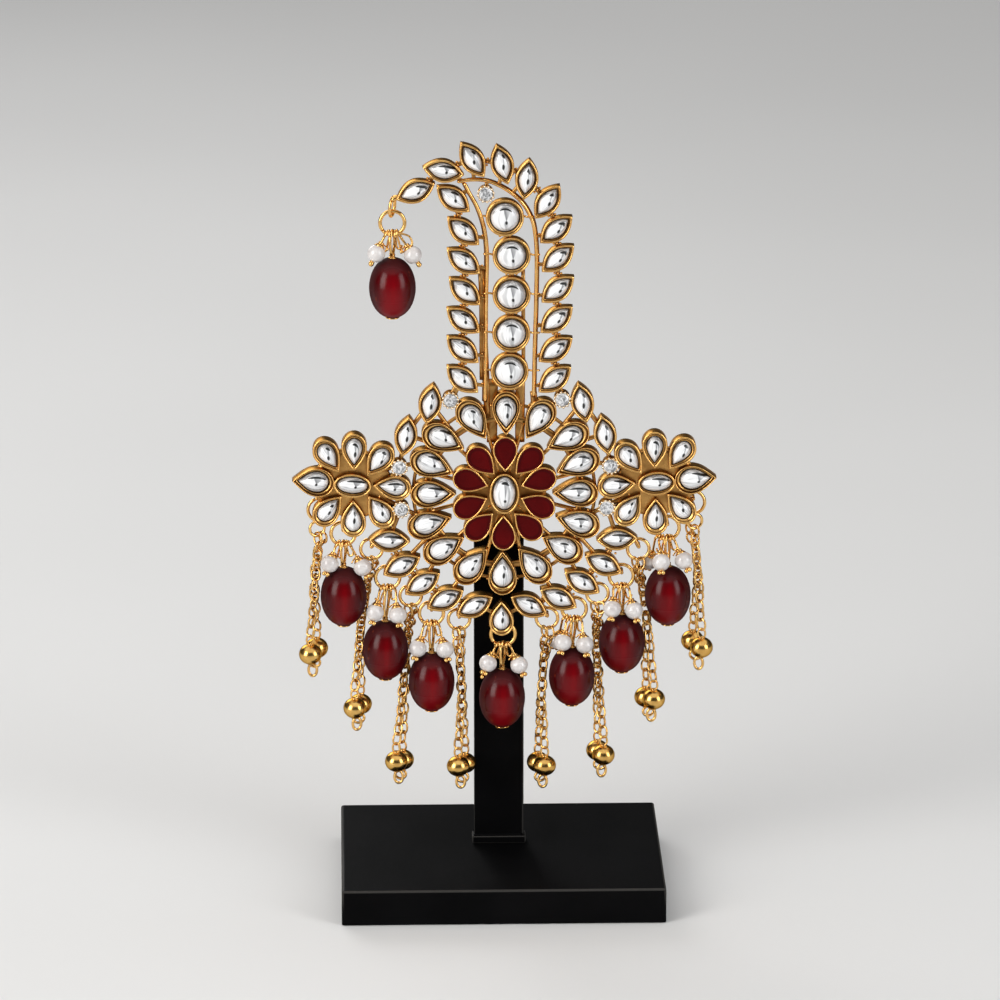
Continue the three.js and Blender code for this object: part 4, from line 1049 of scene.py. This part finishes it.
NODE_STAND = ("brooch_frame",)
crest.build([antique, pale], BROOCH, "antique_gold", NODE_STAND)
medallion.build([antique, pale], BROOCH, "antique_gold", NODE_STAND)
crest_stones.build([foiled, faceted], BROOCH, "foiled_glass", NODE_STAND)
medallion_stones.build([foiled, faceted], BROOCH, "foiled_glass", NODE_STAND)
enamels_part.build([enamel], BROOCH, "antique_gold", NODE_STAND)

for i, (x, z) in enumerate(crest_rounds):
    p = Part(f"round_stone_{i + 1}")
    stone(p, "round", x, z, 90, 0, 1.75)
    p.build([foiled], BROOCH, "foiled_glass", (f"crest_stone_{i + 1}",))
p = Part("heart_stone")
stone(p, "heart", AXIS_X, AXIS_Z, 90, 0, 1.9)
p.build([foiled], BROOCH, "foiled_glass", ("centre_stone",))


# --------------------------------------------------------------------- drops
def wire_coil(centre, axis, r, turns, pitch, count=10):
    axis = np.asarray(axis, float) / np.linalg.norm(axis)
    u = np.cross(axis, (0.0, 1.0, 0.2))
    u /= np.linalg.norm(u)
    v = np.cross(axis, u)
    t = np.linspace(0, 2 * np.pi * turns, int(count * turns) + 1)
    return np.asarray(centre) + np.outer(np.cos(t) * r, u) + np.outer(np.sin(t) * r, v) + np.outer(t / (2 * np.pi) * pitch, axis)


for i, (rx, rz, bx, bz, pearls) in enumerate(pendants):
    n = i + 1
    ring_body = TIP_RING if i == 0 else BROOCH
    body = TIP_DROP if i == 0 else BROOCH

    p = Part(f"jump_ring_{n}")
    # open ring, its butt joint hidden behind the bail
    gap = 0.05
    cut = math.radians(rng.uniform(215, 250))
    path = circle((rx, HANG_Y, rz), RING_R, (1, 0, 0), (0, 0, 1), 44, cut + gap, cut + 2 * math.pi - gap)
    v, f = tube(path, RING_WIRE, 12)
    p.add(v, f, 0, True, 0.95)
    p.build([bright], ring_body, "bright_gold", (f"drop_ring_{n}",))

    p = Part(f"glass_bead_{n}")
    strength = (1.0, 0.30, 0.22, 0.62, 0.70, 0.62, 0.28, 0.40)[i]
    rows = 22
    profile = []
    for k in range(rows + 1):
        t = -math.pi / 2 + math.pi * k / rows
        # a little fuller than an ellipsoid, flattened where the hole runs through
        profile.append((max(BEAD_R * math.cos(t) ** 0.94, 0.35), BEAD_HALF * math.sin(t) * (1 - 0.012 * abs(math.sin(t)) ** 8)))
    v, f = lathe(profile, (bx, HANG_Y, bz), (0, 0, 1), 40)
    foil = np.stack([(v[:, 0] - bx) / BEAD_R, (v[:, 2] - bz) / BEAD_HALF, (v[:, 1] - HANG_Y) / BEAD_R], 1)
    p.add(v, f, 0, True, 1.0, foil, tone=strength)
    # gilt cap under the bead with the pin's rounded end
    v, f = lathe([(0.2, -7.22), (0.8, -7.26), (1.42, -7.22), (1.62, -7.08), (1.60, -6.92), (0.5, -6.75)], (bx, HANG_Y, bz), (0, 0, 1), 26)
    p.add(v, f, 1, True, 0.9)
    # upper cap
    v, f = lathe([(0.3, 6.9), (0.95, 6.95), (1.0, 7.05), (0.7, 7.2), (0.3, 7.3)], (bx, HANG_Y, bz), (0, 0, 1), 18)
    p.add(v, f, 1, True, 0.7)
    # bail: a flat-sided wire loop round the jump ring, closed by two turns above the bead
    top = rz - RING_R + RING_WIRE + 0.3 + 0.35
    foot = bz + BEAD_HALF + 0.1
    side_x = (bx - rx)
    loop_pts = []
    for k in range(28):
        t = 2 * math.pi * k / 28
        zc, hh = (top + foot) / 2, (top - foot) / 2
        zz = zc + hh * math.sin(t)
        wide = 1.0 if math.sin(t) > 0 else 0.55 + 0.45 * (1 + math.sin(t))
        out = 1.25 * math.cos(t) * wide
        loop_pts.append((rx + side_x * (top - zz) / (top - foot) + 0.42 * out, HANG_Y + 0.90 * out, zz))
    v, f = tube(np.array(loop_pts), 0.33, 10, True)
    p.add(v, f, 1, True, 0.9)
    v, f = tube(wire_coil((bx, HANG_Y, foot - 0.1), (0, 0, 1), 0.52, 2.2, 0.42, 12), 0.2, 7)
    p.add(v, f, 1, True, 0.8)
    # loose wires with curled ends between the ring and the bead
    for k, (lean, drop, curl) in enumerate(((-15, 3.4, -1), (12, 3.0, 1), (22, 3.6, 1)) if i == 0 else ((-17, 2.6, -1), (15, 2.4, 1))):
        a = math.radians(lean)
        hx, hz = rx + RING_R * math.sin(a), rz - RING_R * math.cos(a)
        ex, ez = hx + (bx - rx) * 0.5 + math.sin(a) * drop * 0.7, hz - drop * 1.05
        y = HANG_Y - 0.3 + 0.9 * (k % 2)
        pts = [(hx - 0.1, HANG_Y + 1.0, hz + 0.1), (hx, HANG_Y + 0.66, hz + 0.82), (hx, HANG_Y - 0.66, hz + 0.80), (hx + 0.05, HANG_Y - 1.02, hz - 0.25),
               (0.5 * (hx + ex), y - 0.3, 0.5 * (hz + ez)), (ex, y, ez), (ex + curl * 0.55, y - 0.2, ez - 0.35), (ex + curl * 1.05, y - 0.3, ez + 0.05), (ex + curl * 1.15, y - 0.3, ez + 0.6)]
        v, f = tube(smooth_path(pts, 0.3), 0.25, 8)
        p.add(v, f, 1, True, 0.85)
    if i == 0:
        # the long loop that stands off to the right of the tip drop's ring
        pts = [(rx + 1.3, HANG_Y - 1.15, rz - 2.3), (rx + 2.6, HANG_Y - 1.2, rz - 2.35), (rx + 3.9, HANG_Y - 1.1, rz - 3.0), (rx + 4.5, -5.0, rz - 4.3), (rx + 4.2, -5.0, rz - 5.2)]
        v, f = tube(smooth_path(pts, 0.3), 0.24, 8)
        p.add(v, f, 1, True, 0.9)
    p.build([glass_red, bright], body, "red_glass", (f"drop_bead_{n}",))

    for k, (x, y, z) in enumerate(pearls):
        letter = "abc"[k]
        p = Part(f"pearl_{n}{letter}")
        lean = math.radians((-30, 30, -46)[k])
        c = np.array([x, y, z], float)
        hook = np.array([rx + RING_R * math.sin(lean), HANG_Y, rz - RING_R * math.cos(lean)])
        d = hook - c
        far = np.linalg.norm(d)
        d /= far
        v, f = ball(c, PEARL_R + 0.07, 28, 20, d, 0.975)
        wob = 1 + 0.010 * np.sin(3.1 * (v[:, 0] - x) + i) * np.cos(2.3 * (v[:, 2] - z) + k)
        v = c + (v - c) * wob[:, None]
        p.add(v, f, 0, True, 1.0)
        # pin through the pearl, two wrapped turns, hooked over the jump ring
        e = np.cross(d, (0, 1, 0))
        e /= np.linalg.norm(e)
        back = np.array([0.0, 1.0, 0.0])
        start = c + d * (PEARL_R - 0.1)
        over = hook + d * 0.0
        out = math.sin(lean)
        radial = np.array([math.sin(lean), 0, -math.cos(lean)])   # away from the ring's centre
        pts = [start, start + d * 0.5, over + radial * 0.95 - back * 0.35, over + radial * 0.2 - back * 0.72, over - radial * 0.62 - back * 0.15, over - radial * 0.35 + back * 0.6, over + radial * 0.45 + back * 0.68, over + radial * 1.0 + back * 0.1]
        v, f = tube(smooth_path(pts, 0.3), 0.28, 9)
        p.add(v, f, 1, True, 0.9)
        for q, (cr, ch) in enumerate(((1.12, -0.22), (0.86, 0.12), (0.60, 0.44), (0.52, 0.80))):
            ring = circle(start + d * ch, cr, e, np.cross(d, e) + d * 0.10 * (-1) ** q, 20)
            v, f = tube(ring, 0.185, 7, True)
            p.add(v, f, 1, True, 0.75)
        # stray end of the wrap, lying over the pearl's shoulder
        sgn = -1 if k != 1 else 1
        pts = [start + d * 0.75 + e * 0.5, start + d * 0.55 + e * 1.2 * sgn - back * 0.3, start + d * 0.15 + e * 1.75 * sgn - back * 0.35]
        v, f = tube(smooth_path(pts, 0.3), 0.18, 6)
        p.add(v, f, 1, True, 0.85)
        if i == 0:
            v, f = ball(pts[-1], 0.42, 10, 8)
            p.add(v, f, 1, True, 1.0)
        # collar and gilt ball at the pearl's lower end
        foot = c - d * PEARL_R
        v, f = lathe([(0.12, -0.05), (0.55, 0.0), (0.62, 0.12), (0.5, 0.24), (0.12, 0.3)], foot, -d, 12)
        p.add(v, f, 1, True, 0.7)
        if i == 0:
            v, f = ball(foot - d * 0.62, 0.62, 14, 10)
            p.add(v, f, 1, True, 1.0)
        else:
            for s in (-1, 1):
                v, f = ball(foot - d * 0.34 + e * 0.44 * s - back * 0.60, 0.51, 16, 11)
                p.add(v, f, 1, True, 1.0)
            if k == 0 and i == 4:
                v, f = ball(foot - d * 1.5 - e * 0.1, 0.5, 12, 8)
                p.add(v, f, 1, True, 1.0)
                v, f = tube([foot - d * 0.3, foot - d * 0.9, foot - d * 1.3], 0.15, 6)
                p.add(v, f, 1, True, 0.8)
        p.build([pearl, bright], body, "pearl", (f"drop_pearl_{n}{letter}",))


# ------------------------------------------------------------ chain tassels
def behind_drops(x, y, z):
    room = CHAIN_R + 0.6
    out = y
    for rx, rz, bx, bz, pearls in pendants:
        for cx, cy, cz, r, half in [(bx, HANG_Y, bz, BEAD_R, BEAD_HALF)] + [(a, b, c, PEARL_R, PEARL_R) for a, b, c in pearls]:
            q = 1 - ((x - cx) / (r + room)) ** 2 - ((z - cz) / (half + room)) ** 2
            if q > 0:
                depth = (r + room) * math.sqrt(q)
                if cy - depth < out < cy + depth:
                    out = cy + depth
    return out


def cable(part, path, pitch, long_half, wide_half, wire, phase):
    """Oval links along a path, each turned a quarter from the last."""
    tan, s, u = frames(path, False)
    run = np.concatenate([[0], np.cumsum(np.linalg.norm(np.diff(path, axis=0), axis=1))])
    count = max(2, int(round((run[-1] - 0.3) / pitch)))
    step = run[-1] / count
    t = 2 * np.pi * np.arange(14) / 14
    for k in range(count):
        m = (k + 0.5) * step
        c = np.array([np.interp(m, run, path[:, j]) for j in range(3)])
        j = min(len(path) - 1, int(np.searchsorted(run, m)))
        turn = phase + math.pi / 2 * k + rng.uniform(-0.17, 0.17)
        across = s[j] * math.cos(turn) + u[j] * math.sin(turn)
        along = tan[j] + across * rng.uniform(-0.07, 0.07)
        shape = c + np.outer(np.sign(np.cos(t)) * np.abs(np.cos(t)) ** 0.85 * long_half, along) + np.outer(np.sign(np.sin(t)) * np.abs(np.sin(t)) ** 0.9 * wide_half, across)
        v, f = tube(shape, wire, 8, True)
        part.add(v, f, 0, True, rng.uniform(0.50, 0.80))


for i, (rx, rz, size, mid_x, mid_z, mid_front, mid_back, front_x, front_z, back_x, back_z) in enumerate(tassels):
    n = i + 1
    p = Part(f"tassel_ring_{n}")
    cut = math.radians(rng.uniform(100, 130))
    path = circle((rx, HANG_Y, rz), size, (1, 0, 0), (0, 0, 1), 42, cut + 0.05, cut + 2 * math.pi - 0.05)
    v, f = tube(path, CHAIN_WIRE, 12)
    p.add(v, f, 0, True, 0.95)
    p.build([bright], BROOCH, "bright_gold", (f"chain_ring_{n}",))

    p = Part(f"tassel_{n}")
    top = rz - size - CHAIN_WIRE - 0.3 - 0.1
    before = None
    y1 = HANG_Y - CHAIN_R - 0.1 + {1: 1.9, 7: 0.5}.get(i, 0)
    hang_from = rz - size
    if i in (0, 7):
        # small ring between the jump ring and the strands
        path = circle((rx - (0.7 if i == 0 else -0.5), HANG_Y - 0.2, hang_from - 1.75), 1.75, (0.96, 0.28, 0), (0, 0, 1), 26)
        v, f = tube(path, 0.34, 10, True)
        p.add(v, f, 0, True, 0.95)
    for which, (start_y, mid_y, end_y, fx, fz) in enumerate(((y1, mid_front, FRONT_BALL_Y, front_x, front_z),
                                                            (y1 + 2 * CHAIN_R + 0.2, mid_back, BACK_BALL_Y, back_x, back_z))):
        z1, z3 = top - 0.6, fz + BALL_R - 0.2
        pts = []
        for j, q in enumerate((0, 0.25, 0.5, 0.75, 1)):
            z = z1 + (z3 - z1) * q
            k = (z1 - z) / (z1 - mid_z)
            m = (z - mid_z) / (z3 - mid_z)
            x = rx + (mid_x - rx) * k if k < 1 else mid_x + (fx - mid_x) * m
            y = behind_drops(x, start_y + (mid_y - start_y) * k if k < 1 else mid_y + (end_y - mid_y) * m, z)
            if before:
                y = max(y, before[j][1] + 2 * CHAIN_R + 0.15)
            pts.append((x, y, z))
        before = before or pts
        spread = (-0.55, 0.55)[which] if front_x < back_x else (0.55, -0.55)[which]
        first = (rx + spread, HANG_Y + (-0.25, 0.35)[which], hang_from + (0.25 if i not in (0, 7) else -2.9))
        path = smooth_path([first, (pts[0][0] + spread, pts[0][1] * 0.6 + first[1] * 0.4, first[2] - 2.2)] + pts[1:-1] + [(fx, end_y, fz + BALL_R + 2.0)], 0.25)
        cable(p, path, 2.25, 1.40, 1.14, 0.26, 0.70 + rng.uniform(-0.15, 0.15))
        # flattened ball, the long link it hangs from, and the small loop under it
        v, f = ball((0, 0, 0), BALL_R, 34, 24)
        ball_painted_light = 0.62 + 0.42 * np.abs(v[:, 1]) / BALL_R + 0.10 * v[:, 2] / BALL_R   # painted highlight at the front and back and a little on top, painted shade round the sides and underneath
        p.add(v * (BALL_WIDE, BALL_WIDE, 1) + (fx, end_y, fz), f, 1, True, ball_painted_light)
        for s in (-1, 1):
            v, f = tube(circle((fx, end_y, fz + s * (BALL_R - 0.05)), 0.55, (1, 0, 0), (0, 1, 0), 18), 0.2, 8, True)
            p.add(v, f, 0, True, 0.6)
        turn = rng.uniform(-0.3, 0.3)
        uu = (math.cos(turn), math.sin(turn), 0)
        v, f = tube(circle((fx, end_y - 0.15, fz + BALL_R + 1.0), 0.86, uu, (0, -0.12, 0.99), 24, 0, 2 * math.pi, 1.45), 0.235, 9, True)
        p.add(v, f, 0, True, 0.95)
        middle = 0.35 * (back_x - front_x)
        if which == 0:
            v, f = tube(circle((fx + middle, end_y, fz - BALL_R - 1.42), 0.98, uu, (0, 0, 1), 28, 0, 2 * math.pi, 1.50), 0.33, 10, True)
        else:
            v, f = tube(circle((fx - middle, end_y - 1.6, fz - BALL_R - 0.55), 1.30, uu, (0, 0.1, 0.99), 28, 0, 2 * math.pi, 0.86), 0.31, 10, True)
        p.add(v, f, 0, True, 0.72)
    p.build([bright, satin], BROOCH, "bright_gold", (f"chain_{n}",))


# --------------------------------------------------------------------- stand
def rounded_box(part, low, high, radius, segments=3, polish_edge=1.0, keep_bottom=False):
    b = bmesh.new()
    bmesh.ops.create_cube(b, size=1.0)
    low, high = np.array(low, float), np.array(high, float)
    for v in b.verts:
        v.co = Vector(((low + high) / 2 + np.array(v.co) * (high - low)).tolist())
    edges = [e for e in b.edges if not (keep_bottom and all(v.co.z < low[2] + 1e-3 for v in e.verts))]
    bmesh.ops.bevel(b, geom=edges, offset=radius, segments=segments, profile=0.6, affect="EDGES")
    bmesh.ops.recalc_face_normals(b, faces=b.faces)
    b.verts.index_update()
    big = sorted(b.faces, key=lambda f: -f.calc_area())[:6]
    flat = {v.index for f in big for v in f.verts}
    verts = [tuple(v.co) for v in b.verts]
    faces = [tuple(v.index for v in f.verts) for f in b.faces]
    # bevelled edges get the edge value, which the lacquer turns into a painted highlight
    polish = [0.4 if i in flat else polish_edge for i in range(len(verts))]
    big_ids = {f.index for f in big}
    b.faces.index_update()
    smooth = [f not in big for f in b.faces]
    start = len(part.smooth)
    part.add(verts, faces, 0, True, polish)
    part.smooth[start:] = smooth
    b.free()


p = Part("base_block")
low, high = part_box("stand_base")
low, high = np.array(low) / MM, np.array(high) / MM
rounded_box(p, low, high, 0.75, 3, 1.0, True)
p.build([lacquer], BROOCH, "stand_black", ("stand_base",))

p = Part("post_strip")
low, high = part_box("stand_post")
low, high = np.array(low) / MM, np.array(high) / MM
rounded_box(p, (-0.4 - 5.8, 2.2, 8.35), (-0.4 + 5.8, 5.2, high[2]), 0.55, 3)
rounded_box(p, (low[0], low[1], 8.32), (high[0], high[1], low[2] + 1.6), 0.5, 2)
# weld fillet where the post meets its foot plate
for s in (-1, 1):
    path = smooth_path([(-0.4 - 5.6, 3.7 + s * 1.55, low[2] + 1.7), (-0.4, 3.7 + s * 1.6, low[2] + 1.75), (-0.4 + 5.6, 3.7 + s * 1.55, low[2] + 1.7)], 0.8)
    v, f = tube(path, 0.38, 8)
    p.add(v, f, 0, True, 0.6)
p.build([lacquer], BROOCH, "stand_black", ("stand_post",))

# hook strip that carries the brooch on the post
p = Part("hook_strip")
front, behind = CELL_BACK + 0.3, 2.2 + 3 + 0.4
w0, w1 = -2.7, 4.3
top_low, top_high = 91 + 0.8, 91 + 2.4


def strip_along(path_yz, thick, half_width, centre_x, polish=0.6):
    """Flat strip bent along a line in the Y-Z plane."""
    path = smooth_path([(centre_x, y, z) for y, z in path_yz], 0.8)
    n = len(path)
    tan = np.gradient(path, axis=0)
    tan /= np.linalg.norm(tan, axis=1)[:, None]
    nor = np.cross(tan, (1, 0, 0))
    h, e = half_width, thick * 0.3
    sec = [(-h, -thick / 2 + e), (-h + e, -thick / 2), (h - e, -thick / 2), (h, -thick / 2 + e), (h, thick / 2 - e), (h - e, thick / 2), (-h + e, thick / 2), (-h, thick / 2 - e)]
    rings = [np.array([path[i] + np.array([a, 0, 0]) + nor[i] * b for a, b in sec]) for i in range(n)]
    v, f = loft(rings)
    p.add(v, f, 0, True, polish)


yf, yb, zt = front + 0.6, behind + 0.6, 91 + 1.6
strip_along([(yf, 84), (yf, 88), (yf, zt - 1.8), (yf + 0.35, zt - 0.6), (yf + 1.5, zt), (0, zt), (yb - 1.5, zt), (yb - 0.35, zt - 0.6), (yb, zt - 1.8),
             (yb, 86), (yb, 78), (yb, 70), (yb, 62.4)], 1.2, 3.5, 0.8)
for z in (85.4, 88.2):   # two rivets on the front leg's root
    for xx in (-1.2, 2.8):
        v, f = ball((xx, yf + 0.55, z), 0.55, 12, 8)
        p.add(v, f, 0, True, 0.8)
p.build([antique], BROOCH, "antique_gold", ("back_pin",))


# ---------------------------------------------------------------- the studio
def area(name, place, aim, size_x, size_y, power, colour, spread):
    data = bpy.data.lights.new(name, "AREA")
    data.shape, data.size, data.size_y, data.energy, data.color = "RECTANGLE", size_x, size_y, power, colour
    data.spread = math.radians(spread)
    o = bpy.data.objects.new(name, data)
    o.location = place
    o.rotation_mode = "QUATERNION"
    o.rotation_quaternion = (Vector(aim) - Vector(place)).to_track_quat("-Z", "Y")
    bpy.context.scene.collection.objects.link(o)
    o.visible_camera = False
    return o


area("key_left", (-0.82, -0.64, 0.46), (0, 0, 0.10), 0.52, 0.85, 2.5, (1.0, 0.985, 0.96), 90)
area("fill_right", (0.84, -0.66, 0.44), (0, 0, 0.10), 0.44, 0.80, 1.5, (0.97, 0.985, 1.0), 90)
area("back", (-0.45, 0.95, 0.55), (0, 0, 0.10), 0.70, 0.60, 1.2, (1, 1, 1), 90)
# broad even light from overhead
data = bpy.data.lights.new("overhead", "SUN")
data.energy, data.angle = 1.5, math.radians(90)
o = bpy.data.objects.new("overhead", data)
o.rotation_mode = "QUATERNION"
o.rotation_quaternion = Vector((0.0, 0.10, -1.0)).to_track_quat("-Z", "Y")
bpy.context.scene.collection.objects.link(o)

world = bpy.data.worlds.new("studio")
bpy.context.scene.world = world
world.use_nodes = True
world.node_tree.nodes["Background"].inputs[0].default_value = (0.86, 0.87, 0.89, 1)
world.node_tree.nodes["Background"].inputs[1].default_value = 0.06

mesh = bpy.data.meshes.new("floor")
s = 60.0
mesh.from_pydata([(-s, -s, -0.0002), (s, -s, -0.0002), (s, s, -0.0002), (-s, s, -0.0002)], [], [(0, 1, 2, 3)])
floor = bpy.data.objects.new("floor", mesh)
bpy.context.scene.collection.objects.link(floor)
t = Tree("pale_floor")
t.set(Base_Color=t.mix(t.span(t.noise(3.0, 2, 0.5), 0.3, 0.7), (0.74, 0.735, 0.725), (0.77, 0.765, 0.755)), Roughness=0.65)
mesh.materials.append(t.m)
floor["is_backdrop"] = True

# camera: long lens, a little above, square to the front
AZ, EL = math.radians(-1.5), math.radians(17.0)
back = Vector((math.sin(AZ) * math.cos(EL), -math.cos(AZ) * math.cos(EL), math.sin(EL)))
cam_data = bpy.data.cameras.new("camera")
cam_data.sensor_width, cam_data.lens = 36.0, 229.122
cam_data.clip_start, cam_data.clip_end = 0.05, 200.0
cam = bpy.data.objects.new("camera", cam_data)
cam.location = Vector((-0.2 * MM, 0, 93.3 * MM)) + back * 1.4713
cam.rotation_mode = "QUATERNION"
cam.rotation_quaternion = (-back).to_track_quat("-Z", "Y")
bpy.context.scene.collection.objects.link(cam)
bpy.context.scene.camera = cam
bpy.context.scene.view_settings.view_transform = "Standard"

low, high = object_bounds()
